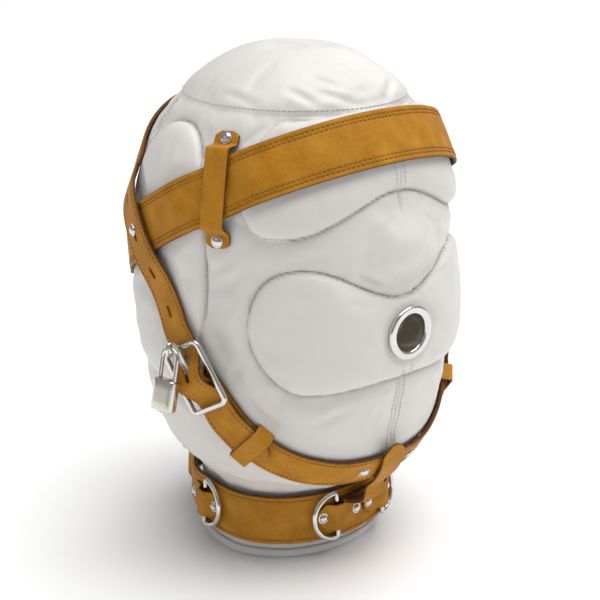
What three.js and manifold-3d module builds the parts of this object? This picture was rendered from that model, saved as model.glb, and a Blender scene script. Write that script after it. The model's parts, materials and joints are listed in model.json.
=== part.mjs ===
// A padded leather full-head hood, closed and buckled. Millimetres, +Z up, the face looks along -Y and the
// wearer's right is -X. Pieces are drawn about the head's own centre line; the whole is then moved so that the
// origin is the middle of its footprint, on the plane that the neck hem rests on.
import * as THREE from "three";
import { mergeVertices } from "three/addons/utils/BufferGeometryUtils.js";
import Module from "manifold-3d";

const wasm = await Module();
wasm.setup();

// ---------------------------------------------------------------- driving dimensions
const HOOD_HEIGHT = 342;
const DOME_FROM = 213; // above this height the hood is a dome
const DOME_SQUARENESS = 2.3;
const STATIONS = [
  // height, half width, reach to the front, reach to the back
  [0, 66, 53, 77],
  [22, 64, 52, 75],
  [48, 64, 53, 76],
  [58, 71, 67, 88],
  [71, 80.5, 81.5, 98],
  [85, 88, 91.5, 105],
  [103, 94.5, 98, 110.5],
  [143, 100, 105, 118],
  [178, 101, 106.5, 120],
  [DOME_FROM, 100, 104, 118],
];
const FRONT_SQUARENESS = 2.0; // superellipse exponents of the front and back half of a slice
const BACK_SQUARENESS = 2.04;
const NOSE = { reach: 9, halfWidth: 22, top: 258, tip: 230, under: 206 };

const LEATHER = 3; // outer panel with its backing
const LINING_DEPTH = 15; // from the outer face to the lining's outer face, in the head part
const LINING_DEPTH_NECK = 4.6;
const LINING_THICKNESS = 2;
const FOAM_FROM = 6.2; // foam pads lie between these two depths
const FOAM_TO = 13.6;
const PAD_RISE = 3.5; // how far a foam pad lifts the outer leather
const PAD_EDGE = 16; // width of a pad's rounded shoulder
const SEAM_GAP = 0.35;
const CROWN_SEAM = 308;
const HEM_HEIGHT = 6;
const BACK_SEAM = 128; // degrees from the front

const STRAP = 25; // width of the jaw straps and of every buckled end
const BAND = 34; // width of the forehead band
const PLY = 2.5; // strap leather
const TAIL_PLY = 2.2;
const LIFT = 2; // strap's underside above the hood
const BAND_TILT = 0.57; // the forehead band falls this much for each millimetre towards the back
const BAND_LEVEL = 244; // its height over the origin

const MOUTH = 176; // height of the mouth port
const PORT = { bore: 12, barrel: 13.4, flange: 17.5, flangeDepth: 2.6 };

const COLLAR_LEVEL = 31;
const COLLAR_HEIGHT = 34;
const COLLAR_PLY = 3.5;
const COLLAR_STAND = 2; // how far the collar's line stands off the neck
const COLLAR_LIFT = 2.6; // and its underside above that line
const COLLAR_BUCKLE = 180; // where it is buckled, in degrees round the neck
const COLLAR_TURN = -7; // the collar sits turned a little towards the wearer's left
const NECK_CENTRE_Y = 10.5;

const BUCKLE = {
  halfLength: 21,
  halfWidth: 15.6,
  bar: 3.6,
  thick: 3.2,
  height: 9.4, // of the frame's mid plane over the hood
  fold: 5.2, // outer radius of the strap's fold round the centre bar
  foldBore: 2.9,
};
const PRONG = { width: 5, thick: 1.8, reach: 24, ring: 4, wire: 1.1, hub: 4.7, hubBore: 2.7 };
const TAIL_LOW = 4.2; // tail's underside below the end bars, over the tangent plane at the buckle
const TAIL_TOP = 15.1; // and over the fold
const TAIL_CLEAR = 0.8; // between the tail and the strap below it
const KEEPER_AT = 50; // from a buckle to the loop that keeps its tail down
const JAW_KEEPER_AT = 54;

const DRING = { height: 36, depth: 20, wire: 1.75 };
const LOCK = { width: 17, height: 20, thick: 9, drop: 13, wire: 1.5, gauge: 6, heel: 12, toe: 5 };

// ---------------------------------------------------------------- materials
const whiteLeather = new THREE.MeshStandardMaterial({ color: 0xe9e7e4, roughness: 0.42, metalness: 0 });
const tanLeather = new THREE.MeshStandardMaterial({ color: 0xc07a1e, roughness: 0.6, metalness: 0 });
const liningCloth = new THREE.MeshStandardMaterial({ color: 0xcfcac2, roughness: 0.9, metalness: 0 });
const foam = new THREE.MeshStandardMaterial({ color: 0xe4dcc0, roughness: 0.95, metalness: 0 });
const nickel = new THREE.MeshStandardMaterial({ color: 0xd6d4cd, roughness: 0.18, metalness: 1 });
const zipTape = new THREE.MeshStandardMaterial({ color: 0xb9812f, roughness: 0.8, metalness: 0 });

const root = new THREE.Group();
const rad = THREE.MathUtils.degToRad;
const lerp = THREE.MathUtils.lerp;
const smooth = (x) => THREE.MathUtils.smoothstep(x, 0, 1);
const vec = (x, y, z) => new THREE.Vector3(x, y, z);

// ---------------------------------------------------------------- solids
// Triangles given as points and indices become one solid, its faces turned outwards.
function solidFrom(geometry) {
  const bare = geometry.clone();
  for (const name of Object.keys(bare.attributes)) if (name !== "position") bare.deleteAttribute(name);
  const merged = mergeVertices(bare, 1e-4);
  const p = merged.attributes.position;
  const at = (i) => vec().fromBufferAttribute(p, i);
  const tris = [];
  let volume = 0;
  for (let i = 0; i < merged.index.count; i += 3) {
    const [a, b, c] = [0, 1, 2].map((k) => merged.index.getX(i + k));
    if (a === b || b === c || a === c) continue;
    tris.push(a, b, c);
    volume += at(a).dot(at(b).cross(at(c)));
  }
  if (volume < 0) tris.reverse();
  const mesh = new wasm.Mesh({
    numProp: 3,
    vertProperties: new Float32Array(p.array),
    triVerts: new Uint32Array(tris),
  });
  return new wasm.Manifold(mesh);
}

function geometryFrom(solid) {
  const { vertProperties, triVerts, numProp } = solid.getMesh();
  const points = [];
  for (let i = 0; i < vertProperties.length; i += numProp) points.push(...vertProperties.subarray(i, i + 3));
  const g = new THREE.BufferGeometry();
  g.setAttribute("position", new THREE.Float32BufferAttribute(points, 3));
  g.setIndex(Array.from(triVerts));
  g.computeVertexNormals();
  return g;
}

// A closed sheet between an outer and an inner surface, each a function of (u, v) in 0..1.
function sheet(nu, nv, outer, inner, closedU = false) {
  const points = [];
  const index = [];
  const row = nv + 1;
  const layer = (nu + 1) * row;
  for (const face of [outer, inner])
    for (let i = 0; i <= nu; i++)
      for (let j = 0; j <= nv; j++) points.push(...face((closedU ? i % nu : i) / nu, j / nv).toArray());
  const quad = (a, b, c, d) => index.push(a, b, c, a, c, d);
  for (let i = 0; i < nu; i++)
    for (let j = 0; j < nv; j++) {
      const a = i * row + j;
      quad(a, a + row, a + row + 1, a + 1);
      quad(layer + a, layer + a + 1, layer + a + row + 1, layer + a + row);
    }
  for (let i = 0; i < nu; i++) {
    const a = i * row;
    quad(a, layer + a, layer + a + row, a + row);
    quad(a + nv, a + row + nv, layer + a + row + nv, layer + a + nv);
  }
  if (!closedU)
    for (let j = 0; j < nv; j++) {
      const b = nu * row + j;
      quad(j, j + 1, layer + j + 1, layer + j);
      quad(b, layer + b, layer + b + 1, b + 1);
    }
  const g = new THREE.BufferGeometry();
  g.setAttribute("position", new THREE.Float32BufferAttribute(points, 3));
  g.setIndex(index);
  return solidFrom(g);
}

const mirrored = (solid) => solid.mirror([1, 0, 0]);

// A local frame: x along a strap, y across it, z away from the hood.
function placed(shape, frame) {
  const solid = shape.isBufferGeometry ? solidFrom(shape) : shape;
  const m = new THREE.Matrix4().makeBasis(frame.x, frame.y, frame.z).setPosition(frame.origin);
  return solid.transform(m.elements);
}
const toWorld = (frame, x, y, z) =>
  frame.origin.clone().addScaledVector(frame.x, x).addScaledVector(frame.y, y).addScaledVector(frame.z, z);

function box(x0, x1, y0, y1, z0, z1) {
  const g = new THREE.BoxGeometry(x1 - x0, y1 - y0, z1 - z0);
  return g.translate((x0 + x1) / 2, (y0 + y1) / 2, (z0 + z1) / 2);
}

// A flat outline in local x and z, extruded across y.
function acrossY(shape, y0, y1) {
  const g = new THREE.ExtrudeGeometry(shape, { depth: y1 - y0, bevelEnabled: false, curveSegments: 6 });
  return g.rotateX(Math.PI / 2).translate(0, y1, 0);
}

function ringAcrossY(outer, inner, y0, y1, x, z) {
  const s = new THREE.Shape().absarc(0, 0, outer, 0, Math.PI * 2);
  s.holes.push(new THREE.Path().absarc(0, 0, inner, 0, Math.PI * 2, true));
  return acrossY(s, y0, y1).translate(x, 0, z);
}

const add = (name, solid, material, userData = {}) => {
  const mesh = new THREE.Mesh(geometryFrom(solid), material);
  mesh.name = name;
  mesh.userData = userData;
  root.add(mesh);
};
const addPair = (name, solid, material) => {
  add(`${name}_right`, solid, material);
  add(`${name}_left`, mirrored(solid), material);
};

// ---------------------------------------------------------------- the hood's outer surface
// Half width, front reach and back reach at a height, smooth through the stations.
function reachesAt(z) {
  const last = STATIONS.length - 1;
  const h = THREE.MathUtils.clamp(z, 0, DOME_FROM);
  let i = 0;
  while (i < last - 1 && h > STATIONS[i + 1][0]) i++;
  const [a, b] = [STATIONS[i], STATIONS[i + 1]];
  const before = STATIONS[Math.max(i - 1, 0)];
  const after = STATIONS[Math.min(i + 2, last)];
  const span = b[0] - a[0];
  const t = (h - a[0]) / span;
  const dome = Math.max(0, (z - DOME_FROM) / (HOOD_HEIGHT - DOME_FROM));
  const shrink = Math.max(0, 1 - dome ** DOME_SQUARENESS) ** 0.5;
  return [1, 2, 3].map((k) => {
    const slopeA = ((b[k] - before[k]) / (b[0] - before[0])) * span;
    const slopeB = i + 2 > last ? 0 : ((after[k] - a[k]) / (after[0] - a[0])) * span;
    const v =
      a[k] * (2 * t ** 3 - 3 * t ** 2 + 1) +
      slopeA * (t ** 3 - 2 * t ** 2 + t) +
      b[k] * (3 * t ** 2 - 2 * t ** 3) +
      slopeB * (t ** 3 - t ** 2);
    return v * shrink;
  });
}

// A point of the plain form. The angle runs from the front towards the wearer's right, in degrees.
function plainPoint(angle, z) {
  const [side, front, back] = reachesAt(z);
  const [s, c] = [Math.sin(rad(angle)), Math.cos(rad(angle))];
  const n = c >= 0 ? FRONT_SQUARENESS : BACK_SQUARENESS;
  const reach = c >= 0 ? front : back;
  if (side < 1e-6) return vec(0, 0, z);
  const r = (Math.abs(s / side) ** n + Math.abs(c / reach) ** n) ** (-1 / n);
  return vec(-r * s, -r * c, z);
}

function normalAt(angle, z) {
  const h = Math.min(z, HOOD_HEIGHT - 0.6);
  const across = plainPoint(angle + 0.5, h).sub(plainPoint(angle - 0.5, h));
  const up = plainPoint(angle, h + 0.5).sub(plainPoint(angle, h - 0.5));
  return up.cross(across).normalize();
}

// Foam pads: a wing that starts at the centre seam, widens to its peak and rounds off at its end.
const EYE_PAD = { peak: 44, end: 60, level: [286.5, 272.3, 266], half: [22.5, 32.8] };
const CHEEK_PAD = { peak: 36, end: 56, level: [171.5, 180, 184], half: [26.5, 40] };
const EAR_PAD = { angle: 100, level: 214, halfAngle: 27, half: 84, squareness: 2.6 };

function wingSpan(pad, angle) {
  const a = Math.abs(angle);
  const toPeak = smooth(a / pad.peak);
  const toEnd = smooth((a - pad.peak) / (pad.end - pad.peak));
  const level = lerp(pad.level[0], pad.level[1], toPeak) + (pad.level[2] - pad.level[1]) * toEnd;
  const past = THREE.MathUtils.clamp((a - pad.peak) / (pad.end - pad.peak), 0, 1);
  const half = a < pad.peak ? lerp(pad.half[0], pad.half[1], toPeak) : pad.half[1] * Math.sqrt(1 - past * past);
  return { level, half };
}

const shoulder = (inside) => {
  const t = THREE.MathUtils.clamp(inside / PAD_EDGE, 0, 1);
  return Math.sqrt(1 - (1 - t) * (1 - t));
};

function padRise(angle, z) {
  const wings = [EYE_PAD, CHEEK_PAD].map((pad) => {
    const { level, half } = wingSpan(pad, angle);
    return shoulder(half - Math.abs(z - level));
  });
  const e = EAR_PAD;
  const out = (Math.abs((Math.abs(angle) - e.angle) / e.halfAngle) ** e.squareness +
    Math.abs((z - e.level) / e.half) ** e.squareness) ** (1 / e.squareness);
  return PAD_RISE * Math.max(...wings, shoulder((1 - out) * 45));
}

function noseRise(angle, z) {
  const across = Math.exp(-((rad(angle) * 104) ** 2) / NOSE.halfWidth ** 2);
  const along = z > NOSE.tip ? (NOSE.top - z) / (NOSE.top - NOSE.tip) : (z - NOSE.under) / (NOSE.tip - NOSE.under);
  return NOSE.reach * across * smooth(along);
}

const wrap = (angle) => THREE.MathUtils.euclideanModulo(angle + 180, 360) - 180;

function surface(angle, z, offset = 0) {
  const a = wrap(angle);
  const rise = noseRise(a, z) + padRise(a, z);
  return plainPoint(a, z).addScaledVector(normalAt(a, z), rise + offset);
}

// ---------------------------------------------------------------- shell
const PANEL_ROWS = [
  HEM_HEIGHT + SEAM_GAP, 24, 36, 48, 53, 58, 66, 77, 92, 112, 136, 160, 183, 201, 216, 232, 248, 265, 282, 296,
  CROWN_SEAM - SEAM_GAP,
];
function panel(from, edgeAt, columns) {
  const rows = PANEL_ROWS.length - 1;
  const point = (offset) => (u, v) => {
    const z = PANEL_ROWS[Math.round(v * rows)];
    return surface(lerp(from, edgeAt(z), u), z, offset);
  };
  return sheet(columns, rows, point(0), point(-LEATHER));
}

const barrelCut = solidFrom(
  new THREE.CylinderGeometry(PORT.barrel + 0.5, PORT.barrel + 0.5, 80, 20).translate(0, -100, 0),
).translate([0, 0, MOUTH]);
const ZIP_HALF_ANGLE = 3;

const facePanel = panel(SEAM_GAP, () => BACK_SEAM - SEAM_GAP, 13);
// The back panels meet above and below the zipper and leave a slot for it between.
const slotEdge = (z) => 180 - (z > 57 && z < 270 ? ZIP_HALF_ANGLE : SEAM_GAP);
const backPanel = panel(BACK_SEAM, slotEdge, 4);

// The dome above a seam height, as rings up to the apex.
function dome(from, offset) {
  const start = Math.asin((from - DOME_FROM) / (HOOD_HEIGHT - DOME_FROM));
  return (u, v) => {
    const z = DOME_FROM + (HOOD_HEIGHT - DOME_FROM) * Math.sin(lerp(start, Math.PI / 2, v));
    return v === 1 ? vec(0, 0, HOOD_HEIGHT + offset) : surface(360 * u, z, offset);
  };
}
const crownPanel = sheet(24, 3, dome(CROWN_SEAM, 0), dome(CROWN_SEAM, -LEATHER), true);

function hemBinding() {
  const ring = (offset) => (u, v) => plainPoint(360 * u, lerp(0, HEM_HEIGHT, v)).addScaledVector(
    plainPoint(360 * u, 0).setZ(0).normalize(), offset);
  return sheet(30, 1, ring(1), ring(-LEATHER - 1), true);
}

// The lining is one bag, open at the neck, with a hole for the mouth port.
function lining() {
  const depth = (z) => lerp(LINING_DEPTH_NECK, LINING_DEPTH, smooth((z - 60) / 50));
  const heights = [HEM_HEIGHT + 0.6, 24, 36, 48, 53, 58, 66, 84, 112, 160, DOME_FROM];
  for (let i = 1; i <= 4; i++) heights.push(DOME_FROM + (HOOD_HEIGHT - DOME_FROM) * Math.sin((i * Math.PI) / 8));
  const rows = heights.length - 1;
  const skin = (extra) => (u, v) => {
    const z = heights[Math.round(v * rows)];
    const inwards = depth(z) + extra;
    if (v === 1) return vec(0, 0, HOOD_HEIGHT - inwards);
    return plainPoint(360 * u, z).addScaledVector(normalAt(360 * u, z), -inwards);
  };
  return sheet(22, rows, skin(0), skin(LINING_THICKNESS), true).subtract(barrelCut);
}

// ---------------------------------------------------------------- foam pads
const INSET = 4; // foam stops this far inside its stitched outline
function wingFoam(pad) {
  const point = (depth) => (u, v) => {
    const angle = lerp(0.8, pad.end - 6, u);
    const { level, half } = wingSpan(pad, angle);
    return surface(angle, level + (half - INSET) * (2 * v - 1), -depth);
  };
  return sheet(5, 4, point(FOAM_FROM), point(FOAM_TO)).subtract(barrelCut);
}
function earFoam() {
  const e = EAR_PAD;
  const point = (depth) => (u, v) => {
    const t = 2 * u - 1;
    const reach = (1 - Math.abs(t) ** e.squareness * 0.8) ** (1 / e.squareness);
    return surface(e.angle + (e.halfAngle - 3) * (2 * v - 1) * reach, e.level + (e.half - INSET) * t, -depth);
  };
  return sheet(7, 4, point(FOAM_FROM), point(FOAM_TO));
}
// ---------------------------------------------------------------- mouth port
const portFace = -surface(0, MOUTH, 0).y;
function lathed(points, segments) {
  const g = new THREE.LatheGeometry(points.map(([r, h]) => new THREE.Vector2(r, h)), segments);
  return solidFrom(g);
}
// Axis along -Y, heights counted outwards from the hood's face.
const onPortAxis = (solid) => solid.rotate([180, 0, 0]).translate([0, -portFace, MOUTH]);
const barrelEnd = -(LINING_DEPTH + LINING_THICKNESS + 1.4);
const { bore, barrel, flange, flangeDepth } = PORT;
const grommet = onPortAxis(lathed([
  [bore, barrelEnd], [bore, flangeDepth - 0.8], [bore + 1.2, flangeDepth + 0.3], [flange - 2.5, flangeDepth],
  [flange, 1.2], [flange, 0.4], [barrel, 0.4], [barrel, barrelEnd], [bore, barrelEnd],
], 20));
const washer = onPortAxis(lathed([
  [barrel + 0.3, barrelEnd], [barrel + 0.3, barrelEnd + 1.4], [flange - 1, barrelEnd + 1.4],
  [flange - 1, barrelEnd], [barrel + 0.3, barrelEnd],
], 20));

// ---------------------------------------------------------------- strap paths on the hood
// A path turns a length along it into a local frame; anglesAt(u) gives [angle, height] for u in 0..1.
function makePath(anglesAt, steps = 360, stand = 0) {
  const points = [];
  const lengths = [0];
  for (let i = 0; i <= steps; i++) {
    const [a, z] = anglesAt(i / steps);
    points.push({ a, z, p: plainPoint(a, z) });
    if (i) lengths.push(lengths[i - 1] + points[i].p.distanceTo(points[i - 1].p));
  }
  const locate = (s) => {
    let i = 1;
    while (i < steps && lengths[i] < s) i++;
    const t = (s - lengths[i - 1]) / (lengths[i] - lengths[i - 1]);
    return [lerp(points[i - 1].a, points[i].a, t), lerp(points[i - 1].z, points[i].z, t)];
  };
  const frame = (s, turn = 1) => {
    const [a, z] = locate(s);
    const origin = surface(a, z, stand);
    const normal = normalAt(a, z);
    const ahead = plainPoint(...locate(s + 1)).sub(plainPoint(...locate(s - 1))).multiplyScalar(turn);
    const x = ahead.addScaledVector(normal, -ahead.dot(normal)).normalize();
    return { origin, x, y: normal.clone().cross(x), z: normal };
  };
  const lengthAt = (test) => lengths[points.findIndex(test)];
  return { frame, length: lengths[steps], lengthAt };
}

// A flat strap along a path. inner, thickness and width are functions of the length.
function ribbon(path, from, to, segments, inner, thickness, width) {
  const point = (top) => (u, v) => {
    const s = lerp(from, to, u);
    const f = path.frame(s);
    return toWorld(f, 0, width(s) * (v - 0.5), inner(s) + (top ? thickness : 0));
  };
  return sheet(segments, 1, point(true), point(false));
}

const bell = (x) => (Math.abs(x) < 18 ? Math.cos((x * Math.PI) / 36) ** 2 : 0);

// Underside of the tail near a buckle: over the fold, under both end bars, then down onto what lies below.
function tailInner(x, drop, far) {
  const low = TAIL_LOW + (TAIL_TOP - TAIL_LOW) * bell(x) + drop;
  const rest = x > 0 ? LIFT + PLY + TAIL_CLEAR : far;
  return lerp(low, rest, smooth((Math.abs(x) - 24) / 18));
}
const baseInner = (x) => LIFT + 1 - smooth(Math.abs(x) / 15);
const dropAt = (centre, p) => centre.z.dot(centre.origin.clone().sub(p));
const tip = (x, end) => STRAP * Math.sqrt(Math.max(0.1, Math.min(1, (end - x) / 11)));

// ---------------------------------------------------------------- buckles
function buckleFrame() {
  const { halfLength: l, halfWidth: w, bar, thick, height } = BUCKLE;
  const [x, y, r] = [l + bar / 2, w + bar / 2, 5];
  const s = new THREE.Shape();
  const corners = [[x, -y], [x, y], [-x, y], [-x, -y]];
  corners.forEach(([cx, cy], i) => {
    const turn = (i - 1) * (Math.PI / 2);
    s.absarc(cx - Math.sign(cx) * r, cy - Math.sign(cy) * r, r, turn, turn + Math.PI / 2);
  });
  const g = new THREE.ExtrudeGeometry(s, { depth: thick, bevelEnabled: false, curveSegments: 3 });
  const plate = solidFrom(g.translate(0, 0, height - thick / 2));
  const [near, far, side] = [bar / 2, l - bar / 2, w - bar / 2];
  const window = (from, to) => solidFrom(box(from, to, -side, side, 0, 20));
  return plate.subtract(window(-far, -near)).subtract(window(near, far));
}

// The prong swings on the centre bar, lies on the free bar and ends in a standing ring for a lock.
function prong(ringTurn) {
  const { width, thick, reach, ring, wire, hub, hubBore } = PRONG;
  const top = BUCKLE.height + BUCKLE.thick / 2 + 0.3;
  const eye = solidFrom(ringAcrossY(hub, hubBore, -width / 2, width / 2, 0, BUCKLE.height));
  const plate = solidFrom(box(-reach, -1, -width / 2, width / 2, top, top + thick));
  const keepOut = solidFrom(ringAcrossY(hubBore, 0.4, -width, width, 0, BUCKLE.height));
  const torus = new THREE.TorusGeometry(ring, wire, 6, 12).rotateX(Math.PI / 2).rotateZ(ringTurn);
  const loop = solidFrom(torus.translate(-reach + 1, 0, top + thick + ring - 0.9));
  return eye.add(plate.subtract(keepOut)).add(loop);
}
const ringCentre = (frame) =>
  toWorld(frame, -PRONG.reach + 1, 0, BUCKLE.height + BUCKLE.thick / 2 + 0.3 + PRONG.thick + PRONG.ring - 0.9);

// The fold that holds the centre bar, with a slot for the prong.
function fold() {
  const half = STRAP / 2;
  const tube = solidFrom(ringAcrossY(BUCKLE.fold, BUCKLE.foldBore, -half, half, 0, BUCKLE.height));
  return tube;
}
const foldSlot = () => solidFrom(
  box(-7, 7, -PRONG.width / 2 - 0.6, PRONG.width / 2 + 0.6, 3, BUCKLE.height + BUCKLE.fold + 0.25));
const tailSlot = () => solidFrom(box(-15, 1.2, -PRONG.width / 2 - 0.9, PRONG.width / 2 + 0.9, 5, 22));
const foldBore = () => solidFrom(
  acrossY(new THREE.Shape().absarc(0, 0, BUCKLE.foldBore, 0, Math.PI * 2), -20, 20).translate(0, 0, BUCKLE.height));

function keeperLoop(width) {
  const [low, high, wall, half] = [LIFT - 0.8, LIFT + PLY + TAIL_CLEAR + TAIL_PLY + 1.1, 1.5, width / 2 + 0.7];
  const s = box(-6, 6, -half - wall, half + wall, low - wall + 0.4, high + wall);
  const hole = box(-8, 8, -half, half, low, high);
  return solidFrom(s).subtract(solidFrom(hole));
}

// Each moving piece carries the pin it turns on: a point and an axis about which it opens.
const asDrawn = { solid: (s) => s, point: (p) => p, axis: (a) => a };
const onTheLeft = {
  solid: mirrored,
  point: (p) => vec(-p.x, p.y, p.z),
  axis: (a) => vec(a.x, -a.y, -a.z),
};
const pinned = (point, axis, how = asDrawn) => ({
  pivot: how.point(point).toArray(),
  axis: how.axis(axis).toArray(),
});

function addBuckle(name, frame, keeperFrame, ringTurn = 0, how = asDrawn) {
  const data = pinned(toWorld(frame, 0, 0, BUCKLE.height), frame.y, how);
  add(`${name}_buckle`, how.solid(placed(buckleFrame(), frame)), nickel, data);
  add(`${name}_prong`, how.solid(placed(prong(ringTurn), frame)), nickel, data);
  add(`${name}_keeper`, how.solid(placed(keeperLoop(STRAP), keeperFrame)), tanLeather);
}

// ---------------------------------------------------------------- harness strap and chin strap
const JAW_LINE = [
  // angle and height, from under the chin up the side and over the back of the crown
  [0, 80], [22, 81], [37, 87], [49, 97], [60, 113], [70, 137], [80, 166],
  [89, 194], [99, 217], [119, 250], [148, 279], [180, 290],
];
const jawCurve = new THREE.CatmullRomCurve3(JAW_LINE.map(([a, z]) => vec(a, z, 0)));
const jaw = makePath((u) => {
  const p = jawCurve.getPoint(u);
  return [p.x, p.y];
});
const JAW_BUCKLE = 73.7; // degrees round the head
const buckleAt = jaw.lengthAt((q) => q.a >= JAW_BUCKLE);
const jawFrame = jaw.frame(buckleAt, -1); // x runs towards the chin

function jawSide(s) {
  return { x: buckleAt - s, drop: dropAt(jawFrame, jaw.frame(s).origin) };
}
const TAIL_END = 66;
const BAND_STEP = 4.6; // the harness rises this much where it crosses the band
function harnessHalf() {
  const inner = (s) => {
    const { x, drop } = jawSide(s);
    const overBand = BAND_STEP * Math.exp(-(((s - bandCrossing) / 34) ** 4));
    return tailInner(x, drop, LIFT + overBand);
  };
  const width = (s) => tip(jawSide(s).x, TAIL_END);
  const near = ribbon(jaw, buckleAt - TAIL_END, buckleAt + 30, 20, inner, TAIL_PLY, width);
  const far = ribbon(jaw, buckleAt + 29, jaw.length - 0.5, 18, inner, TAIL_PLY, width);
  return near.add(far);
}
const bandCrossing = jaw.lengthAt((q) => q.a > 90 && q.z >= bandHeight(q.a));

// Punched holes along the strap above the buckle.
function punched(strap) {
  let cut = strap;
  for (let k = 1; k <= 4; k++) {
    const f = jaw.frame(buckleAt + 17 + 26 * k);
    cut = cut.subtract(placed(box(-4, 4, -1.6, 1.6, 1, 16), f));
  }
  return cut;
}
const harnessRight = punched(harnessHalf()).subtract(placed(tailSlot(), jawFrame));
const harnessJoin = solidFrom(box(-2, 2, -STRAP / 2, STRAP / 2, LIFT, LIFT + TAIL_PLY));
const harness = harnessRight.add(mirrored(harnessRight)).add(placed(harnessJoin, jaw.frame(jaw.length - 0.6)));

function chinHalf() {
  const inner = (s) => baseInner(jawSide(s).x);
  const strip = ribbon(jaw, 0.5, buckleAt, 20, inner, PLY, () => STRAP);
  const join = placed(box(-2, 2, -STRAP / 2, STRAP / 2, LIFT, LIFT + PLY), jaw.frame(1));
  return strip.add(join).add(placed(fold(), jawFrame)).subtract(placed(foldBore(), jawFrame))
    .subtract(placed(foldSlot(), jawFrame));
}
const chin = chinHalf();
const jawKeeperFrame = jaw.frame(buckleAt - JAW_KEEPER_AT, -1);

// Turning the lock ring until its axis is level lets the padlock hang straight.
const level = vec(0, 0, 1).cross(jawFrame.z).normalize();
const ringTurn = Math.atan2(-level.dot(jawFrame.x), level.dot(jawFrame.y));

// ---------------------------------------------------------------- forehead band
// a runs from the back centre round the wearer's left, the front and the right, and on over the buckle.
function bandHeight(angle) {
  let z = BAND_LEVEL;
  for (let i = 0; i < 40; i++) z = BAND_LEVEL - BAND_TILT * plainPoint(wrap(angle), z).y;
  return z;
}
const OVERRUN = 60; // degrees past the back centre, for the tail
const band = makePath((u) => {
  const a = lerp(-OVERRUN / 2, 360 + OVERRUN, u);
  return [180 + a, bandHeight(180 + a)];
}, 600);
const bandStart = band.lengthAt((q) => q.a >= 180);
const bandBack = band.lengthAt((q) => q.a >= 540);
const bandFrame = band.frame(bandBack);

function loopStrap(path, start, back, frame, options) {
  const { wide, ply, lift, segments, tail } = options;
  const taper = (x) => lerp(STRAP, wide, smooth((Math.abs(x) - 62) / 30));
  const body = (s) => {
    const fromBuckle = Math.min(s - start, Math.abs(back - s));
    const rest = lerp(LIFT, lift, smooth((fromBuckle - 62) / 30));
    if (s - start < back - s) return rest + (s - start < 15 ? baseInner(s - start) - LIFT : 0);
    return tailInner(s - back, dropAt(frame, path.frame(s).origin), rest);
  };
  const width = (s) => (s > back - 24 ? tip(s - back, tail) : taper(Math.min(s - start, back - s)));
  const main = ribbon(path, start, back - 40, segments, body, ply, width);
  const end = ribbon(path, back - 40.5, back + tail, 24, body, TAIL_PLY, width);
  return main.add(end).add(placed(fold(), frame)).subtract(placed(foldBore(), frame))
    .subtract(placed(foldSlot(), frame)).subtract(placed(tailSlot(), frame));
}
const foreheadBand = loopStrap(band, bandStart, bandBack, bandFrame,
  { wide: BAND, ply: PLY, lift: 2.1, segments: 46, tail: TAIL_END });

// Riveted keepers hold the band at each temple.
const KEEPER_LINE = { top: [69, 297], bottom: [66.5, 231.5] };
const temple = makePath((u) => [
  lerp(KEEPER_LINE.top[0], KEEPER_LINE.bottom[0], u), lerp(KEEPER_LINE.top[1], KEEPER_LINE.bottom[1], u)]);
const templeFrame = band.frame(band.lengthAt((q) => q.a >= 360 + 67));
function overBand(s) {
  const drop = dropAt(templeFrame, temple.frame(s).origin);
  return lerp(0.6, 6.6 + drop, smooth((Math.min(s, temple.length - s) - 7.5) / 5.5));
}
const templeKeeper = ribbon(temple, 0, temple.length, 16, overBand, 1.8, (s) => {
  const end = Math.min(s, temple.length - s);
  return (16 + Math.exp(-(((end - 5) / 9) ** 2))) * Math.sqrt(Math.min(1, 0.5 + end / 5));
});

// ---------------------------------------------------------------- collar
const collarPath = makePath((u) => {
  const a = lerp(-OVERRUN / 2, 360 + OVERRUN, u);
  return [180 + a, COLLAR_LEVEL];
}, 600, COLLAR_STAND);
const collarStart = collarPath.lengthAt((q) => q.a >= COLLAR_BUCKLE);
const collarBack = collarPath.lengthAt((q) => q.a >= COLLAR_BUCKLE + 360);
const collarFrame = collarPath.frame(collarBack);
const collarBand = loopStrap(collarPath, collarStart, collarBack, collarFrame,
  { wide: COLLAR_HEIGHT, ply: COLLAR_PLY, lift: COLLAR_LIFT, segments: 34, tail: TAIL_END - 6 });
const collarLining = ribbon(collarPath, collarPath.lengthAt((q) => q.a >= 270),
  collarPath.lengthAt((q) => q.a >= 450), 22, () => COLLAR_LIFT - 2.6, 2.2, () => COLLAR_HEIGHT - 14);
const neck = vec(0, NECK_CENTRE_Y, 0);
const turnedAxis = (a) => a.clone().applyAxisAngle(vec(0, 0, 1), rad(-COLLAR_TURN));
const turned = {
  solid: (s) => s.translate(neck.clone().negate().toArray()).rotate([0, 0, -COLLAR_TURN]).translate(neck.toArray()),
  point: (p) => turnedAxis(p.clone().sub(neck)).add(neck),
  axis: turnedAxis,
};

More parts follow.
